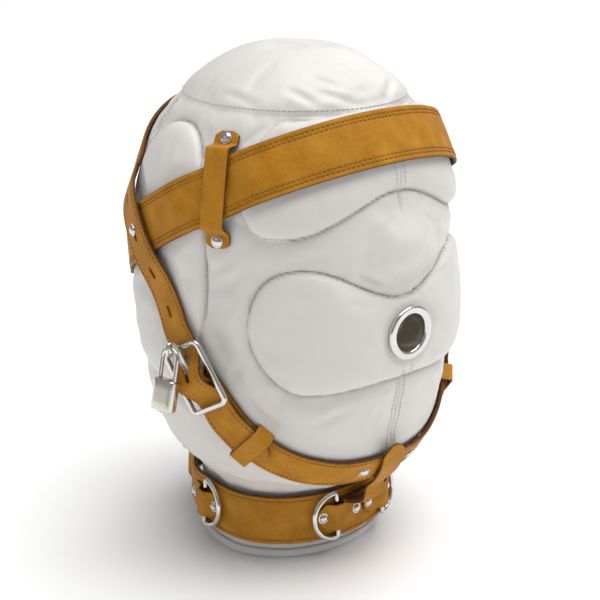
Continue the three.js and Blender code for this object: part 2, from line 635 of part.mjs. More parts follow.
// A D-ring lies on the collar and swings on its straight bar, which a riveted patch holds down.
const collarTop = COLLAR_LIFT + COLLAR_PLY;
const barHeight = collarTop + 0.5 + DRING.wire;
function dRing() {
  const { height, depth, wire } = DRING;
  const half = height / 2 - wire;
  const reach = depth - 2 * wire;
  const outline = new THREE.CurvePath();
  outline.add(new THREE.LineCurve3(vec(0, -half, 0), vec(0, half, 0)));
  outline.add(new THREE.CubicBezierCurve3(
    vec(0, half, 0), vec(reach * 1.45, half, 0), vec(reach * 1.45, -half, 0), vec(0, -half, 0)));
  const points = [];
  for (let i = 0; i < 3; i++) points.push(vec(0, lerp(-half, half, i / 3), 0));
  for (let i = 0; i < 12; i++) points.push(outline.curves[1].getPoint(i / 12));
  const centre = vec(reach * 0.45, 0, 0);
  const section = (u, w, r) => {
    const i = Math.round(u * points.length) % points.length;
    const out = points[i].clone().sub(centre).normalize();
    const a = w * Math.PI * 2;
    return points[i].clone().addScaledVector(out, r * Math.cos(a)).add(vec(0, 0, r * Math.sin(a) + barHeight));
  };
  return loopOf(points.length, 7, (u, w) => section(u, w, wire));
}

// A closed tube: u runs round the loop, w round the wire.
function loopOf(nu, nw, point) {
  const points = [];
  const index = [];
  for (let i = 0; i < nu; i++) for (let j = 0; j < nw; j++) points.push(...point(i / nu, j / nw).toArray());
  for (let i = 0; i < nu; i++)
    for (let j = 0; j < nw; j++) {
      const [i2, j2] = [((i + 1) % nu) * nw, (j + 1) % nw];
      index.push(i * nw + j, i2 + j, i2 + j2, i * nw + j, i2 + j2, i * nw + j2);
    }
  const g = new THREE.BufferGeometry();
  g.setAttribute("position", new THREE.Float32BufferAttribute(points, 3));
  g.setIndex(index);
  return solidFrom(g);
}

const PATCH = { under: 13, beyond: 19, width: 19, ply: 1.8 }; // under the ring and beyond its bar
function dRingPatch(path, s0, turn) {
  const centre = path.frame(s0, turn);
  const over = 2 * DRING.wire + 1;
  const lift = (x) => collarTop + 0.5 + over * (1 - smooth((Math.abs(x) - DRING.wire) / 6));
  const [from, to] = turn > 0 ? [s0 - PATCH.beyond, s0 + PATCH.under] : [s0 - PATCH.under, s0 + PATCH.beyond];
  const patch = ribbon(path, from, to, 12, (s) => lift(s - s0), PATCH.ply,
    (s) => PATCH.width * Math.sqrt(Math.min(1, 0.35 + Math.min(s - from, to - s) / 7)));
  return { patch, ring: placed(dRing(), centre), centre };
}

// The collar's leather runs up at the front into a tab that lies over the chin strap.
const TAB = { width: 18, base: 24, from: 45.5, to: 99, lean: [-5, 2] };
const tabPath = makePath((u) => [lerp(...TAB.lean, u), lerp(TAB.from, TAB.to, u)]);
const tabPly = (s) => lerp(COLLAR_PLY - 0.2, 2, smooth((s - 12) / 20));
function tabInner(s) {
  const z = tabPath.frame(s).origin.z;
  const away = COLLAR_STAND + COLLAR_LIFT + 0.1 + 8 * Math.exp(-(((z - 57) / 9) ** 2));
  return lerp(away, LIFT + PLY + 1.7, smooth((z - 58) / 7));
}
const tabWidth = (s) => {
  const t = s / tabPath.length;
  const waist = lerp(TAB.base, TAB.width, smooth(t / 0.4)) - 3 * Math.exp(-(((t - 0.45) / 0.12) ** 2));
  return waist * Math.sqrt(Math.min(1, 0.3 + (tabPath.length - s) / 7));
};
function tab() {
  const steps = 14;
  const face = (top) => (u, v) => {
    const s = tabPath.length * u;
    return toWorld(tabPath.frame(s), 0, tabWidth(s) * (v - 0.5), tabInner(s) + (top ? tabPly(s) : 0));
  };
  return sheet(steps, 1, face(true), face(false));
}

// ---------------------------------------------------------------- rivets
// A domed head over the leather, a shank through it and a small cap below.
const RIVET = { head: 4, shank: 1.4, cap: 2.4 };
function rivet(top, bottom) {
  const { head, shank, cap } = RIVET;
  return lathed([
    [0, top + 2.2], [head * 0.7, top + 1.6], [head, top + 0.3], [shank, top + 0.3], [shank, bottom - 0.3],
    [cap, bottom - 0.3], [cap, bottom - 1.1], [0, bottom - 1.1],
  ], 7).rotate([90, 0, 0]);
}
const drill = (frame) => placed(
  new THREE.CylinderGeometry(RIVET.shank + 0.3, RIVET.shank + 0.3, 40, 8).rotateX(Math.PI / 2), frame);

const templeRivets = [4.2, temple.length - 4.2].map((s) => {
  const frame = temple.frame(s);
  return { frame, solid: placed(rivet(overBand(s) + 2.4, -LEATHER - 0.7), frame) };
});
const crossing = jaw.frame(bandCrossing);
const crossingTop = LIFT + BAND_STEP + TAIL_PLY;
const crossRivet = placed(rivet(crossingTop + 0.2, -LEATHER - 0.5), crossing);
const chinRivets = [-14, 11].map((angle) => {
  const s = jaw.lengthAt((q) => q.a >= Math.abs(angle));
  const frame = jaw.frame(s);
  const solid = placed(rivet(LIFT + PLY, -LEATHER - 1), frame);
  return { cut: angle < 0 ? mirrored(drill(frame)) : drill(frame), solid: angle < 0 ? mirrored(solid) : solid };
});

// ---------------------------------------------------------------- padlock
// Local frame: the shackle's crown at the origin, x across the lock, z up.
function padlock() {
  const { width, height, thick, drop, wire, gauge, heel, toe } = LOCK;
  const crown = -gauge;
  const top = crown - drop;
  const points = [];
  const legs = [vec(-gauge, 0, top - heel), vec(-gauge, 0, crown)];
  for (let i = 1; i < 8; i++) {
    const a = Math.PI * (1 - i / 8);
    legs.push(vec(gauge * Math.cos(a), 0, crown + gauge * Math.sin(a)));
  }
  legs.push(vec(gauge, 0, crown), vec(gauge, 0, top - toe));
  legs.forEach((p) => points.push(p));
  const tube = (u, v) => {
    const i = Math.round(v * (points.length - 1));
    const along = points[Math.min(i + 1, points.length - 1)].clone().sub(points[Math.max(i - 1, 0)]).normalize();
    const side = vec(0, 1, 0).cross(along).normalize();
    const a = u * Math.PI * 2;
    return points[i].clone().addScaledVector(side, wire * Math.cos(a)).add(vec(0, wire * Math.sin(a), 0));
  };
  const shackle = rod(8, points.length, tube);
  const cylinder = (r, x, z0, z1) =>
    solidFrom(new THREE.CylinderGeometry(r, r, z1 - z0, 14).rotateX(Math.PI / 2).translate(x, 0, (z0 + z1) / 2));
  const outline = new THREE.Shape();
  const [hx, hy, r] = [width / 2, thick / 2, 2.5];
  [[hx, -hy], [hx, hy], [-hx, hy], [-hx, -hy]].forEach(([cx, cy], i) => {
    const turn = (i - 1) * (Math.PI / 2);
    outline.absarc(cx - Math.sign(cx) * r, cy - Math.sign(cy) * r, r, turn, turn + Math.PI / 2);
  });
  const block = new THREE.ExtrudeGeometry(outline, { depth: height, bevelEnabled: false, curveSegments: 3 });
  const plugHeight = 8;
  const body = solidFrom(block.translate(0, 0, top - height))
    .subtract(cylinder(wire + 0.35, -gauge, top - heel - 1.5, top + 1))
    .subtract(cylinder(wire + 0.35, gauge, top - toe - 1.5, top + 1))
    .subtract(cylinder(3.9, 0, top - height - 1, top - height + plugHeight + 0.4));
  const plug = cylinder(3.5, 0, top - height - 0.6, top - height + plugHeight)
    .subtract(solidFrom(box(-2.4, 2.4, -0.5, 0.5, top - height - 1, top - height + 5)));
  return { shackle, body, plug };
}

// A rod with flat ends: u runs round it, v along it.
function rod(nu, nv, point) {
  const points = [];
  const index = [];
  for (let j = 0; j < nv; j++) for (let i = 0; i < nu; i++) points.push(...point(i / nu, j / (nv - 1)).toArray());
  for (let j = 0; j < nv - 1; j++)
    for (let i = 0; i < nu; i++) {
      const [a, b] = [j * nu + i, j * nu + ((i + 1) % nu)];
      index.push(a, b, b + nu, a, b + nu, a + nu);
    }
  for (let i = 1; i < nu - 1; i++) {
    const end = (nv - 1) * nu;
    index.push(0, i + 1, i, end, end + i, end + i + 1);
  }
  const g = new THREE.BufferGeometry();
  g.setAttribute("position", new THREE.Float32BufferAttribute(points, 3));
  g.setIndex(index);
  return solidFrom(g);
}

const LOCK_TILT = 14; // degrees, the lock leans out over the strap
const hang = { origin: ringCentre(jawFrame), x: level.clone() };
hang.z = vec(0, 0, 1).applyAxisAngle(level, rad(-LOCK_TILT));
hang.y = hang.z.clone().cross(hang.x);
const lock = padlock();

// ---------------------------------------------------------------- rear zipper
// Its line is an arc about ZIP.centre in the middle plane, so the slider swings about that centre.
const ZIP = { centreY: -188, centreZ: 179, radius: 308, low: 80, high: 264, slider: 92 };
const zipAngle = (z) => THREE.MathUtils.radToDeg(Math.asin((z - ZIP.centreZ) / ZIP.radius));
const zipPoint = (x, angle, out) => vec(
  x, ZIP.centreY + (ZIP.radius + out) * Math.cos(rad(angle)), ZIP.centreZ + (ZIP.radius + out) * Math.sin(rad(angle)));
function zipSheet(x0, x1, z0, z1, rows, inner, outer) {
  const at = (out) => (u, v) => zipPoint(lerp(x0, x1, u), lerp(zipAngle(z0), zipAngle(z1), v), out);
  return sheet(1, rows, at(outer), at(inner));
}
const zipTapeRight = zipSheet(-5, -0.25, ZIP.low, ZIP.high, 10, -2.6, -0.8);
const placket = zipSheet(-12, 12, ZIP.low + 2, ZIP.high + 2, 10, -7.2, -5.4);
const sliderFrame = (() => {
  const a = rad(zipAngle(ZIP.slider));
  const z = vec(0, Math.cos(a), Math.sin(a));
  return { origin: zipPoint(0, zipAngle(ZIP.slider), 0), x: vec(-1, 0, 0), y: vec(0, -Math.sin(a), Math.cos(a)), z };
})();
function zipSlider() {
  const plate = solidFrom(box(-4.5, 4.5, -7, 7, 0.2, 2.4));
  const lug = solidFrom(ringAcrossY(2.6, 1.3, -1.2, 1.2, 0, 0)).rotate([0, 0, 90]);
  return plate.add(lug.translate([0, 1, 4])).add(solidFrom(box(-1.2, 1.2, -3.5, -1.5, 2, 4)));
}
const PULL_PIVOT = 4;
function zipPull() {
  const plate = solidFrom(box(-4, 4, -25, 0.9, 3.4, 4.6));
  const window = solidFrom(box(-2, 2, -4.6, 0.1, 2, 6));
  return plate.subtract(window).translate([0, 1, 0]);
}

// ---------------------------------------------------------------- the assembly
const holes = [...templeRivets.map((r) => drill(r.frame)), drill(crossing)];
const pierced = (solid, cuts) => cuts.reduce((left, cut) => left.subtract(cut), solid);
const both = (cuts) => [...cuts, ...cuts.map(mirrored)];

const rightHoles = [...holes, chinRivets[1].cut];
const leftHoles = [...holes, mirrored(chinRivets[0].cut)];
const portedPanel = facePanel.subtract(barrelCut);
add("face_panel_right", pierced(portedPanel, rightHoles), whiteLeather);
add("face_panel_left", mirrored(pierced(portedPanel, leftHoles)), whiteLeather);
addPair("back_panel", pierced(backPanel, holes), whiteLeather);
add("crown_panel", crownPanel, whiteLeather);
add("neck_hem", hemBinding(), whiteLeather);
add("inner_lining", lining(), liningCloth);
addPair("eye_foam", wingFoam(EYE_PAD), foam);
addPair("cheek_foam", wingFoam(CHEEK_PAD), foam);
addPair("ear_foam", pierced(earFoam(), holes.slice(2)), foam);

add("mouth_grommet", grommet, nickel);
add("mouth_washer", washer, nickel);

addPair("zip_tape", zipTapeRight, zipTape);
add("zip_placket", placket, tanLeather);
const zipCentre = vec(0, ZIP.centreY, ZIP.centreZ);
add("zip_slider", placed(zipSlider(), sliderFrame), nickel, pinned(zipCentre, vec(1, 0, 0)));
add("zip_pull", placed(zipPull(), sliderFrame), nickel, pinned(toWorld(sliderFrame, 0, 1, PULL_PIVOT), vec(1, 0, 0)));

add("forehead_band", pierced(foreheadBand, both(holes)), tanLeather);
addPair("temple_keeper", pierced(templeKeeper, holes), tanLeather);
const RIVET_NAMES = ["upper", "lower"];
templeRivets.forEach((r, i) => addPair(`temple_rivet_${RIVET_NAMES[i]}`, r.solid, nickel));
addBuckle("forehead", bandFrame, band.frame(bandBack + KEEPER_AT));

add("harness_strap", pierced(harness, both(holes)), tanLeather);
addPair("harness_rivet", crossRivet, nickel);
add("chin_strap", pierced(chin.add(mirrored(chin)), chinRivets.map((r) => r.cut)), tanLeather);
add("chin_rivet_left", chinRivets[0].solid, nickel);
add("chin_rivet_right", chinRivets[1].solid, nickel);
addBuckle("jaw_right", jawFrame, jawKeeperFrame, ringTurn);
addBuckle("jaw_left", jawFrame, jawKeeperFrame, ringTurn, onTheLeft);

add("collar", turned.solid(collarBand).add(tab()), tanLeather);
add("collar_lining", turned.solid(collarLining), tanLeather);
addBuckle("collar", collarFrame, collarPath.frame(collarBack + KEEPER_AT), 0, turned);
const D_RINGS = [["front_right", 22, 1], ["front_left", -22, -1], ["side_right", 106, -1], ["side_left", -106, 1]];
for (const [name, angle, turn] of D_RINGS) {
  const s = collarPath.lengthAt((q) => q.a >= 360 + angle);
  const { patch, ring, centre } = dRingPatch(collarPath, s, turn);
  const data = pinned(toWorld(centre, 0, 0, barHeight), centre.y.clone().negate(), turned);
  add(`d_ring_${name}`, turned.solid(ring), nickel, data);
  add(`d_ring_patch_${name}`, turned.solid(patch), tanLeather);
}

const down = hang.z.clone().negate();
add("padlock_shackle", placed(lock.shackle, hang), nickel, pinned(hang.origin, level.clone().negate()));
add("padlock_body", placed(lock.body, hang), nickel, pinned(hang.origin, down));
add("padlock_plug", placed(lock.plug, hang), nickel, pinned(hang.origin, down));

const extent = new THREE.Box3().setFromObject(root);
root.position.set(-(extent.min.x + extent.max.x) / 2, -(extent.min.y + extent.max.y) / 2, -extent.min.z);

export default root;
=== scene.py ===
"""The looks of a padded leather hood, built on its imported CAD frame. Lengths are millimetres about the head's
centre line, as in the CAD source, until piece() and cut() move them into the row frame in metres."""
import json
import math

import bmesh
import bpy
import numpy as np
from mathutils import Matrix, Vector

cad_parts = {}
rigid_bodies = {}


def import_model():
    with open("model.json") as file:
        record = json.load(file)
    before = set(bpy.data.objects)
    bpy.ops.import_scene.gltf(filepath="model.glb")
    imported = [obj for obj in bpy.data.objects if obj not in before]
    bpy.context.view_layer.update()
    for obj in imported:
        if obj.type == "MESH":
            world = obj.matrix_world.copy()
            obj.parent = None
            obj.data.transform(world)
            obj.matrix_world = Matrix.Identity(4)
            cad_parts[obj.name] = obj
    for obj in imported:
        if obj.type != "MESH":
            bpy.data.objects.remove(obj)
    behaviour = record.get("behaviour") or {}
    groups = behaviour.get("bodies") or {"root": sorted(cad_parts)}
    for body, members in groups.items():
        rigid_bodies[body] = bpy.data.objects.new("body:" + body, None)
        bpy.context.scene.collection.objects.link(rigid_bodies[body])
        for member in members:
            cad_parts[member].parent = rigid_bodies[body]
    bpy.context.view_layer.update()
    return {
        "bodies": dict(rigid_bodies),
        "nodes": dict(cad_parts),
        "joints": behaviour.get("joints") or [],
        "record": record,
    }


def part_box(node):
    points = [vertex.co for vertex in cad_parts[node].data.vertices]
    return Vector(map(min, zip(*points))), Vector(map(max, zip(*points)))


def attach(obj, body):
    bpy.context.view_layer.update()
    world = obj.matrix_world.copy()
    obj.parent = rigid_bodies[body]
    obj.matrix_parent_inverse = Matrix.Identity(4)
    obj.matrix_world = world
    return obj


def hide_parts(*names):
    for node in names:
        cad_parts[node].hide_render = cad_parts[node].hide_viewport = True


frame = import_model()

# ------------------------------------------------------------------ dimensions shared with the CAD source
HEIGHT, DOME, DOME_N = 342.0, 213.0, 2.3
STATIONS = np.array([
    [0, 66, 53, 77], [22, 64, 52, 75], [48, 64, 53, 76], [58, 71, 67, 88], [71, 80.5, 81.5, 98],
    [85, 88, 91.5, 105], [103, 94.5, 98, 110.5], [143, 100, 105, 118], [178, 101, 106.5, 120],
    [DOME, 100, 104, 118],
], float)
FRONT_N, BACK_N = 2.0, 2.04
NOSE = dict(reach=9, half=22, top=258, tip=230, under=206)
EYE = dict(peak=44, end=60, level=(286.5, 272.3, 266), half=(22.5, 32.8))
CHEEK = dict(peak=36, end=56, level=(171.5, 180, 184), half=(26.5, 40))
EAR = dict(angle=100, level=214, half_angle=27, half=84, n=2.6)
PAD_RISE, PAD_EDGE = 3.5, 16
HEM, CROWN_SEAM, BACK_SEAM = 6, 308, 128
STRAP, BAND, PLY, TAIL_PLY, LIFT = 25, 34, 2.5, 2.2, 2.0
BAND_TILT, BAND_LEVEL, BAND_STEP, BAND_LIFT = 0.57, 244, 4.6, 2.1
MOUTH = 176
PORT = dict(bore=12, barrel=13.4, flange=17.5, depth=2.6)
COLLAR_LEVEL, COLLAR_HEIGHT, COLLAR_PLY, COLLAR_STAND, COLLAR_LIFT = 31, 34, 3.5, 2, 2.6
COLLAR_TURN, NECK_Y = -7, 10.5
BUCKLE = dict(half_length=21, half_width=15.6, bar=3.6, height=9.4, fold=5.2, bore=2.9)
PRONG = dict(width=5, thick=1.8, reach=24, ring=4, wire=1.1)
TAIL_LOW, TAIL_TOP, TAIL_CLEAR, TAIL_END, KEEPER_AT, JAW_KEEPER_AT = 4.2, 15.1, 0.8, 66, 50, 54
DRING = dict(height=36, depth=20, wire=1.75)
LOCK = dict(width=17, height=20, thick=9, drop=13, wire=1.5, gauge=6, heel=12, toe=5, tilt=14)
ZIP = dict(y=-188, z=179, radius=308, low=80, high=264, slider=92)
JAW = [(0, 80), (22, 81), (37, 87), (49, 97), (60, 113), (70, 137), (80, 166),
       (89, 194), (99, 217), (119, 250), (148, 279), (180, 290)]
JAW_BUCKLE = 73.7
LINING_DEPTH, LINING_PLY, WASHER_PLY = 15, 2, 1.4
HALF_BAR, PRONG_GAP, EYE_SINK = 1.6, 0.3, 0.9  # the centre bar, and how the prong lies on it
PRONG_LEVEL = BUCKLE["height"] + HALF_BAR + PRONG_GAP
EYE_CENTRE = PRONG_LEVEL + PRONG["thick"] + PRONG["ring"] - EYE_SINK
PRONG_SLOT = (-15, 1.2, 3.2, 5, 22)  # from and to along the strap, half width, from and to in height
SEAM_INSET = 2.6  # of the stitch rows on the 25 mm straps
STRAP_THREAD = dict(length=2.2, pitch=3.1, radius=0.28)

low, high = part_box("neck_hem")
SHIFT = np.array([(low.x + high.x) * 500, (low.y + high.y) * 500 - 12, 0.0])  # the hem runs from y -54 to 78


# ------------------------------------------------------------------ small maths
def unit(v):
    return v / np.maximum(np.linalg.norm(v, axis=-1, keepdims=True), 1e-9)


def smooth(x):
    t = np.clip(x, 0, 1)
    return t * t * (3 - 2 * t)


def lerp(a, b, t):
    return a + (b - a) * t


def arr(*vs):
    """The values as float arrays of one shape."""
    return [np.asarray(v, float) for v in np.broadcast_arrays(*vs)]


def circle(count, start=0.0):
    """The cosines and sines of even angles round a circle."""
    t = np.linspace(0, 2 * math.pi, count, endpoint=False) + start
    return np.cos(t), np.sin(t)


def squared(v, power):
    """A cosine or sine bent towards a square's, more so the smaller the power."""
    return np.sign(v) * np.abs(v) ** power


def hash_noise(p, scale, seed=0.0):
    """Smooth noise in -1..1 at points p, from a few turned sine waves."""
    q = np.asarray(p, float) / scale + seed * 7.31
    out = np.zeros(q.shape[:-1])
    rng = np.random.RandomState(int(seed * 10) + 3)
    for _ in range(7):
        k = unit(rng.normal(size=3)) * rng.uniform(0.7, 1.5) * 2 * math.pi
        out += np.sin(q @ k + rng.uniform(0, 6.28))
    return out / 4.0


# ------------------------------------------------------------------ the hood's form
def reaches(z):
    """How far the hood reaches to the side, front and back at the height z."""
    x = STATIONS[:, 0]
    h = np.clip(z, 0, DOME)
    i = np.clip(np.searchsorted(x, h, side="left") - 1, 0, len(x) - 2)
    before, after = np.maximum(i - 1, 0), np.minimum(i + 2, len(x) - 1)
    span = x[i + 1] - x[i]
    t = (h - x[i]) / span
    dome = np.clip((z - DOME) / (HEIGHT - DOME), 0, 1)
    shrink = np.sqrt(np.maximum(0, 1 - dome ** DOME_N))
    out = []
    for k in (1, 2, 3):
        v = STATIONS[:, k]
        a, b = v[i], v[i + 1]
        ma = (b - v[before]) / (x[i + 1] - x[before]) * span
        mb = np.where(i + 2 > len(x) - 1, 0, (v[after] - a) / (x[after] - x[i]) * span)
        out.append((a * (2 * t ** 3 - 3 * t ** 2 + 1) + ma * (t ** 3 - 2 * t ** 2 + t)
                    + b * (3 * t ** 2 - 2 * t ** 3) + mb * (t ** 3 - t ** 2)) * shrink)
    return out


def plain(a, z):
    """The hood's form without nose or pads, at a degrees round from the front and z up."""
    a, z = arr(a, z)
    side, front, back = reaches(z)
    s, c = np.sin(np.radians(a)), np.cos(np.radians(a))
    n = np.where(c >= 0, FRONT_N, BACK_N)
    reach = np.maximum(np.where(c >= 0, front, back), 1e-6)
    side = np.maximum(side, 1e-6)
    r = (np.abs(s / side) ** n + np.abs(c / reach) ** n) ** (-1 / n)
    return np.stack([-r * s, -r * c, z], -1)


def normal(a, z):
    a, z = arr(a, z)
    h = np.minimum(z, HEIGHT - 0.6)
    across = plain(a + 0.5, h) - plain(a - 0.5, h)
    up = plain(a, h + 0.5) - plain(a, h - 0.5)
    return unit(np.cross(up, across))


def wrap(a):
    return (np.asarray(a, float) + 180) % 360 - 180


def wing(pad, a):
    """The middle height of an eye or cheek pad at the angle a, and half its height there."""
    a = np.abs(a)
    to_peak = smooth(a / pad["peak"])
    past = np.clip((a - pad["peak"]) / (pad["end"] - pad["peak"]), 0, 1)
    first, peak, last = pad["level"]
    level = lerp(first, peak, to_peak) + (last - peak) * smooth(past)
    narrow, wide = pad["half"]
    round_end = wide * np.sqrt(np.maximum(0, 1 - past ** 2))
    half = np.where(a < pad["peak"], lerp(narrow, wide, to_peak), round_end)
    return level, half


def ear_inside(a, z):
    """How far inside the ear pad's outline a point lies: a share scaled to about mm."""
    out = (np.abs((np.abs(a) - EAR["angle"]) / EAR["half_angle"]) ** EAR["n"]
           + np.abs((z - EAR["level"]) / EAR["half"]) ** EAR["n"]) ** (1 / EAR["n"])
    return (1 - out) * 45


def shoulder(inside, edge=PAD_EDGE):
    """The share of its full rise that a pad has this far inside its outline."""
    t = np.clip(inside / edge, 0, 1)
    return np.sqrt(1 - (1 - t) ** 2)


def pad_rise(a, z):
    best = np.zeros(np.broadcast(a, z).shape)
    for pad in (EYE, CHEEK):
        level, half = wing(pad, a)
        best = np.maximum(best, shoulder(half - np.abs(z - level)))
    return PAD_RISE * np.maximum(best, shoulder(ear_inside(a, z)))


def nose_rise(a, z):
    across = np.exp(-((np.radians(a) * 104) ** 2) / NOSE["half"] ** 2)
    along = np.where(z > NOSE["tip"], (NOSE["top"] - z) / (NOSE["top"] - NOSE["tip"]),
                     (z - NOSE["under"]) / (NOSE["tip"] - NOSE["under"]))
    return NOSE["reach"] * across * smooth(along)


def surface(a, z, offset=0.0):
    a, z = arr(wrap(a), z)
    return plain(a, z) + normal(a, z) * (nose_rise(a, z) + pad_rise(a, z) + offset)[..., None]


# ------------------------------------------------------------------ paths and frames
class Frame:
    """x along a strap, y across it, z away from the hood. Holds one frame or many."""

    def __init__(self, o, x, y, z):
        self.o, self.x, self.y, self.z = (np.asarray(v, float) for v in (o, x, y, z))

    def at(self, x=0.0, y=0.0, z=0.0):
        x, y, z = arr(x, y, z)
        return self.o + x[..., None] * self.x + y[..., None] * self.y + z[..., None] * self.z


class Path:
    """A line over the hood, by its length from the start."""

    def __init__(self, angles, steps=360, stand=0.0):
        a, z = angles(np.linspace(0, 1, steps + 1))
        self.a, self.z = arr(a, z)
        p = plain(self.a, self.z)
        self.len = np.concatenate([[0], np.cumsum(np.linalg.norm(np.diff(p, axis=0), axis=1))])
        self.length, self.stand = self.len[-1], stand
        # a strap bridges the edge of a pad instead of following it down
        k = np.arange(0, self.length + 0.5, 0.5)
        a, z = wrap(np.interp(k, self.len, self.a)), np.interp(k, self.len, self.z)
        rise = np.pad(nose_rise(a, z) + pad_rise(a, z), 16, mode="edge")
        rise = np.max([np.roll(rise, j) for j in range(-4, 5)], axis=0)
        self.rise = k, np.mean([np.roll(rise, j) for j in range(-11, 12)], axis=0)[16:-16]

    def locate(self, s):
        return np.interp(s, self.len, self.a), np.interp(s, self.len, self.z)

    def frame(self, s, turn=1):
        s = np.asarray(s, float)
        a, z = self.locate(s)
        n = normal(a, z)
        ahead = (plain(*self.locate(s + 1)) - plain(*self.locate(s - 1))) * turn
        x = unit(ahead - (ahead * n).sum(-1, keepdims=True) * n)
        lift = np.interp(s, *self.rise) + self.stand
        return Frame(plain(*arr(wrap(a), z)) + n * np.asarray(lift)[..., None], x, np.cross(n, x), n)

    def at(self, test):
        return self.len[np.argmax(test(self.a + 1e-6, self.z))]


def catmull(points, u):
    """The centripetal curve through the points, at u in 0..1."""
    p = np.array(points, float)
    over = [360 - p[-2][0], p[-2][1]] if p[-1][0] == 180 else 2 * p[-1] - p[-2]
    ends = np.vstack([2 * p[0] - p[1], p, over])
    t = np.asarray(u) * (len(p) - 1)
    i = np.minimum(t.astype(int), len(p) - 2)
    w = (t - i)[:, None]
    q = [ends[i + k] for k in range(4)]
    d = [np.maximum(np.linalg.norm(q[k + 1] - q[k], axis=1, keepdims=True) ** 0.5, 1e-4) for k in range(3)]
    m1 = ((q[1] - q[0]) / d[0] - (q[2] - q[0]) / (d[0] + d[1]) + (q[2] - q[1]) / d[1]) * d[1]
    m2 = ((q[2] - q[1]) / d[1] - (q[3] - q[1]) / (d[1] + d[2]) + (q[3] - q[2]) / d[2]) * d[1]
    return (q[1] + m1 * w + (-3 * q[1] + 3 * q[2] - 2 * m1 - m2) * w ** 2
            + (2 * q[1] - 2 * q[2] + m1 + m2) * w ** 3)


def jaw_angles(u):
    p = catmull(JAW, u)
    return p[:, 0], p[:, 1]


def band_height(a):
    """The height of the tilted forehead band at an angle, found by repetition."""
    z = np.full(np.shape(a), float(BAND_LEVEL))
    for _ in range(40):
        z = BAND_LEVEL - BAND_TILT * plain(wrap(a), z)[..., 1]
    return z


jaw = Path(jaw_angles)
band = Path(lambda u: (150 + 450 * u, band_height(150 + 450 * u)), 600)
collar = Path(lambda u: (150 + 450 * u, COLLAR_LEVEL), 600, COLLAR_STAND)
temple = Path(lambda u: (lerp(69, 66.5, u), lerp(297, 231.5, u)))
tab_path = Path(lambda u: (lerp(-5, 2, u), lerp(45.5, 99, u)))
BUCKLE_AT = jaw.at(lambda a, z: a >= JAW_BUCKLE)
CROSSING = jaw.at(lambda a, z: (a > 90) & (z >= band_height(a)))
BAND_START, BAND_BACK = (band.at(lambda a, z, k=k: a >= k) for k in (180, 540))
COLLAR_START, COLLAR_BACK = (collar.at(lambda a, z, k=k: a >= k) for k in (180, 540))
jaw_frame = jaw.frame(BUCKLE_AT, -1)
band_frame = band.frame(BAND_BACK)
collar_frame = collar.frame(COLLAR_BACK)
temple_frame = band.frame(band.at(lambda a, z: a >= 427))


def tail_inner(x, drop, far):
    """The underside of a tail that climbs over its buckle, x from the centre bar."""
    climb = np.where(np.abs(x) < 18, np.cos(x * math.pi / 36) ** 2, 0)
    low_part = TAIL_LOW + (TAIL_TOP - TAIL_LOW) * climb + drop
    rest = np.where(x > 0, LIFT + PLY + TAIL_CLEAR, far)
    return lerp(low_part, rest, smooth((np.abs(x) - 24) / 18))


def base_inner(x):
    return LIFT + 1 - smooth(np.abs(x) / 15)


def drop_at(centre, p):
    return (centre.o - p) @ centre.z


def tip(x, end):
    """The strap's width as it rounds off at its end."""
    return STRAP * np.sqrt(np.clip((end - x) / 11, 0.02, 1))


# ------------------------------------------------------------------ making pieces
def put(name, data):
    """A new object in the scene."""
    obj = bpy.data.objects.new(name, data)
    bpy.context.collection.objects.link(obj)
    return obj


def piece(name, points, faces, material, body="hood", nodes=(), attrs=None, sharp=None):
    m = bpy.data.meshes.new(name)
    m.from_pydata(((np.asarray(points) + SHIFT) / 1000).tolist(), [], faces)
    m.validate()
    for key, values in (attrs or {}).items():
        layer = m.attributes.new(key, "FLOAT", "POINT")
        layer.data.foreach_set("value", np.asarray(values, np.float32).ravel())
    obj = put(name, m)
    bpy.context.view_layer.objects.active = obj
    outward(m)
    m.polygons.foreach_set("use_smooth", [True] * len(m.polygons))
    if sharp:
        m.set_sharp_from_angle(angle=math.radians(sharp))
    m.materials.append(material)
    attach(obj, body)
    if nodes:
        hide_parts(*nodes)
    return obj


def outward(m):
    """Turns every face's front to the outside."""
    b = bmesh.new()
    b.from_mesh(m)
    bmesh.ops.recalc_face_normals(b, faces=b.faces)
    b.to_mesh(m)
    b.free()


def grid_faces(nu, nv, start=0, loop_u=False, loop_v=False):
    """Quads over a (nu, nv) grid of points; a loop joins the last row or column to the first."""
    i = np.arange(nu if loop_u else nu - 1)[:, None]
    j = np.arange(nv if loop_v else nv - 1)[None, :]
    i2, j2 = (i + 1) % nu, (j + 1) % nv
    quads = np.stack(np.broadcast_arrays(i * nv + j, i2 * nv + j, i2 * nv + j2, i * nv + j2), -1)
    return (quads.reshape(-1, 4) + start).tolist()


def as_is(p):
    return p


def mirrored(p):
    return np.asarray(p) * [-1, 1, 1]


def turned(p):
    """The collar's parts, turned to the wearer's left about the neck."""
    a = math.radians(-COLLAR_TURN)
    c, s = math.cos(a), math.sin(a)
    q = np.array(p, float)
    x, y = q[..., 0].copy(), q[..., 1] - NECK_Y
    q[..., 0], q[..., 1] = c * x - s * y, s * x + c * y + NECK_Y
    return q


def way_out(how, p, n):
    """The normals n at p, once how has moved the piece."""
    return how(p + n) - how(p) if how is turned else how(n)


SIDES = ((as_is, "right"), (mirrored, "left"))


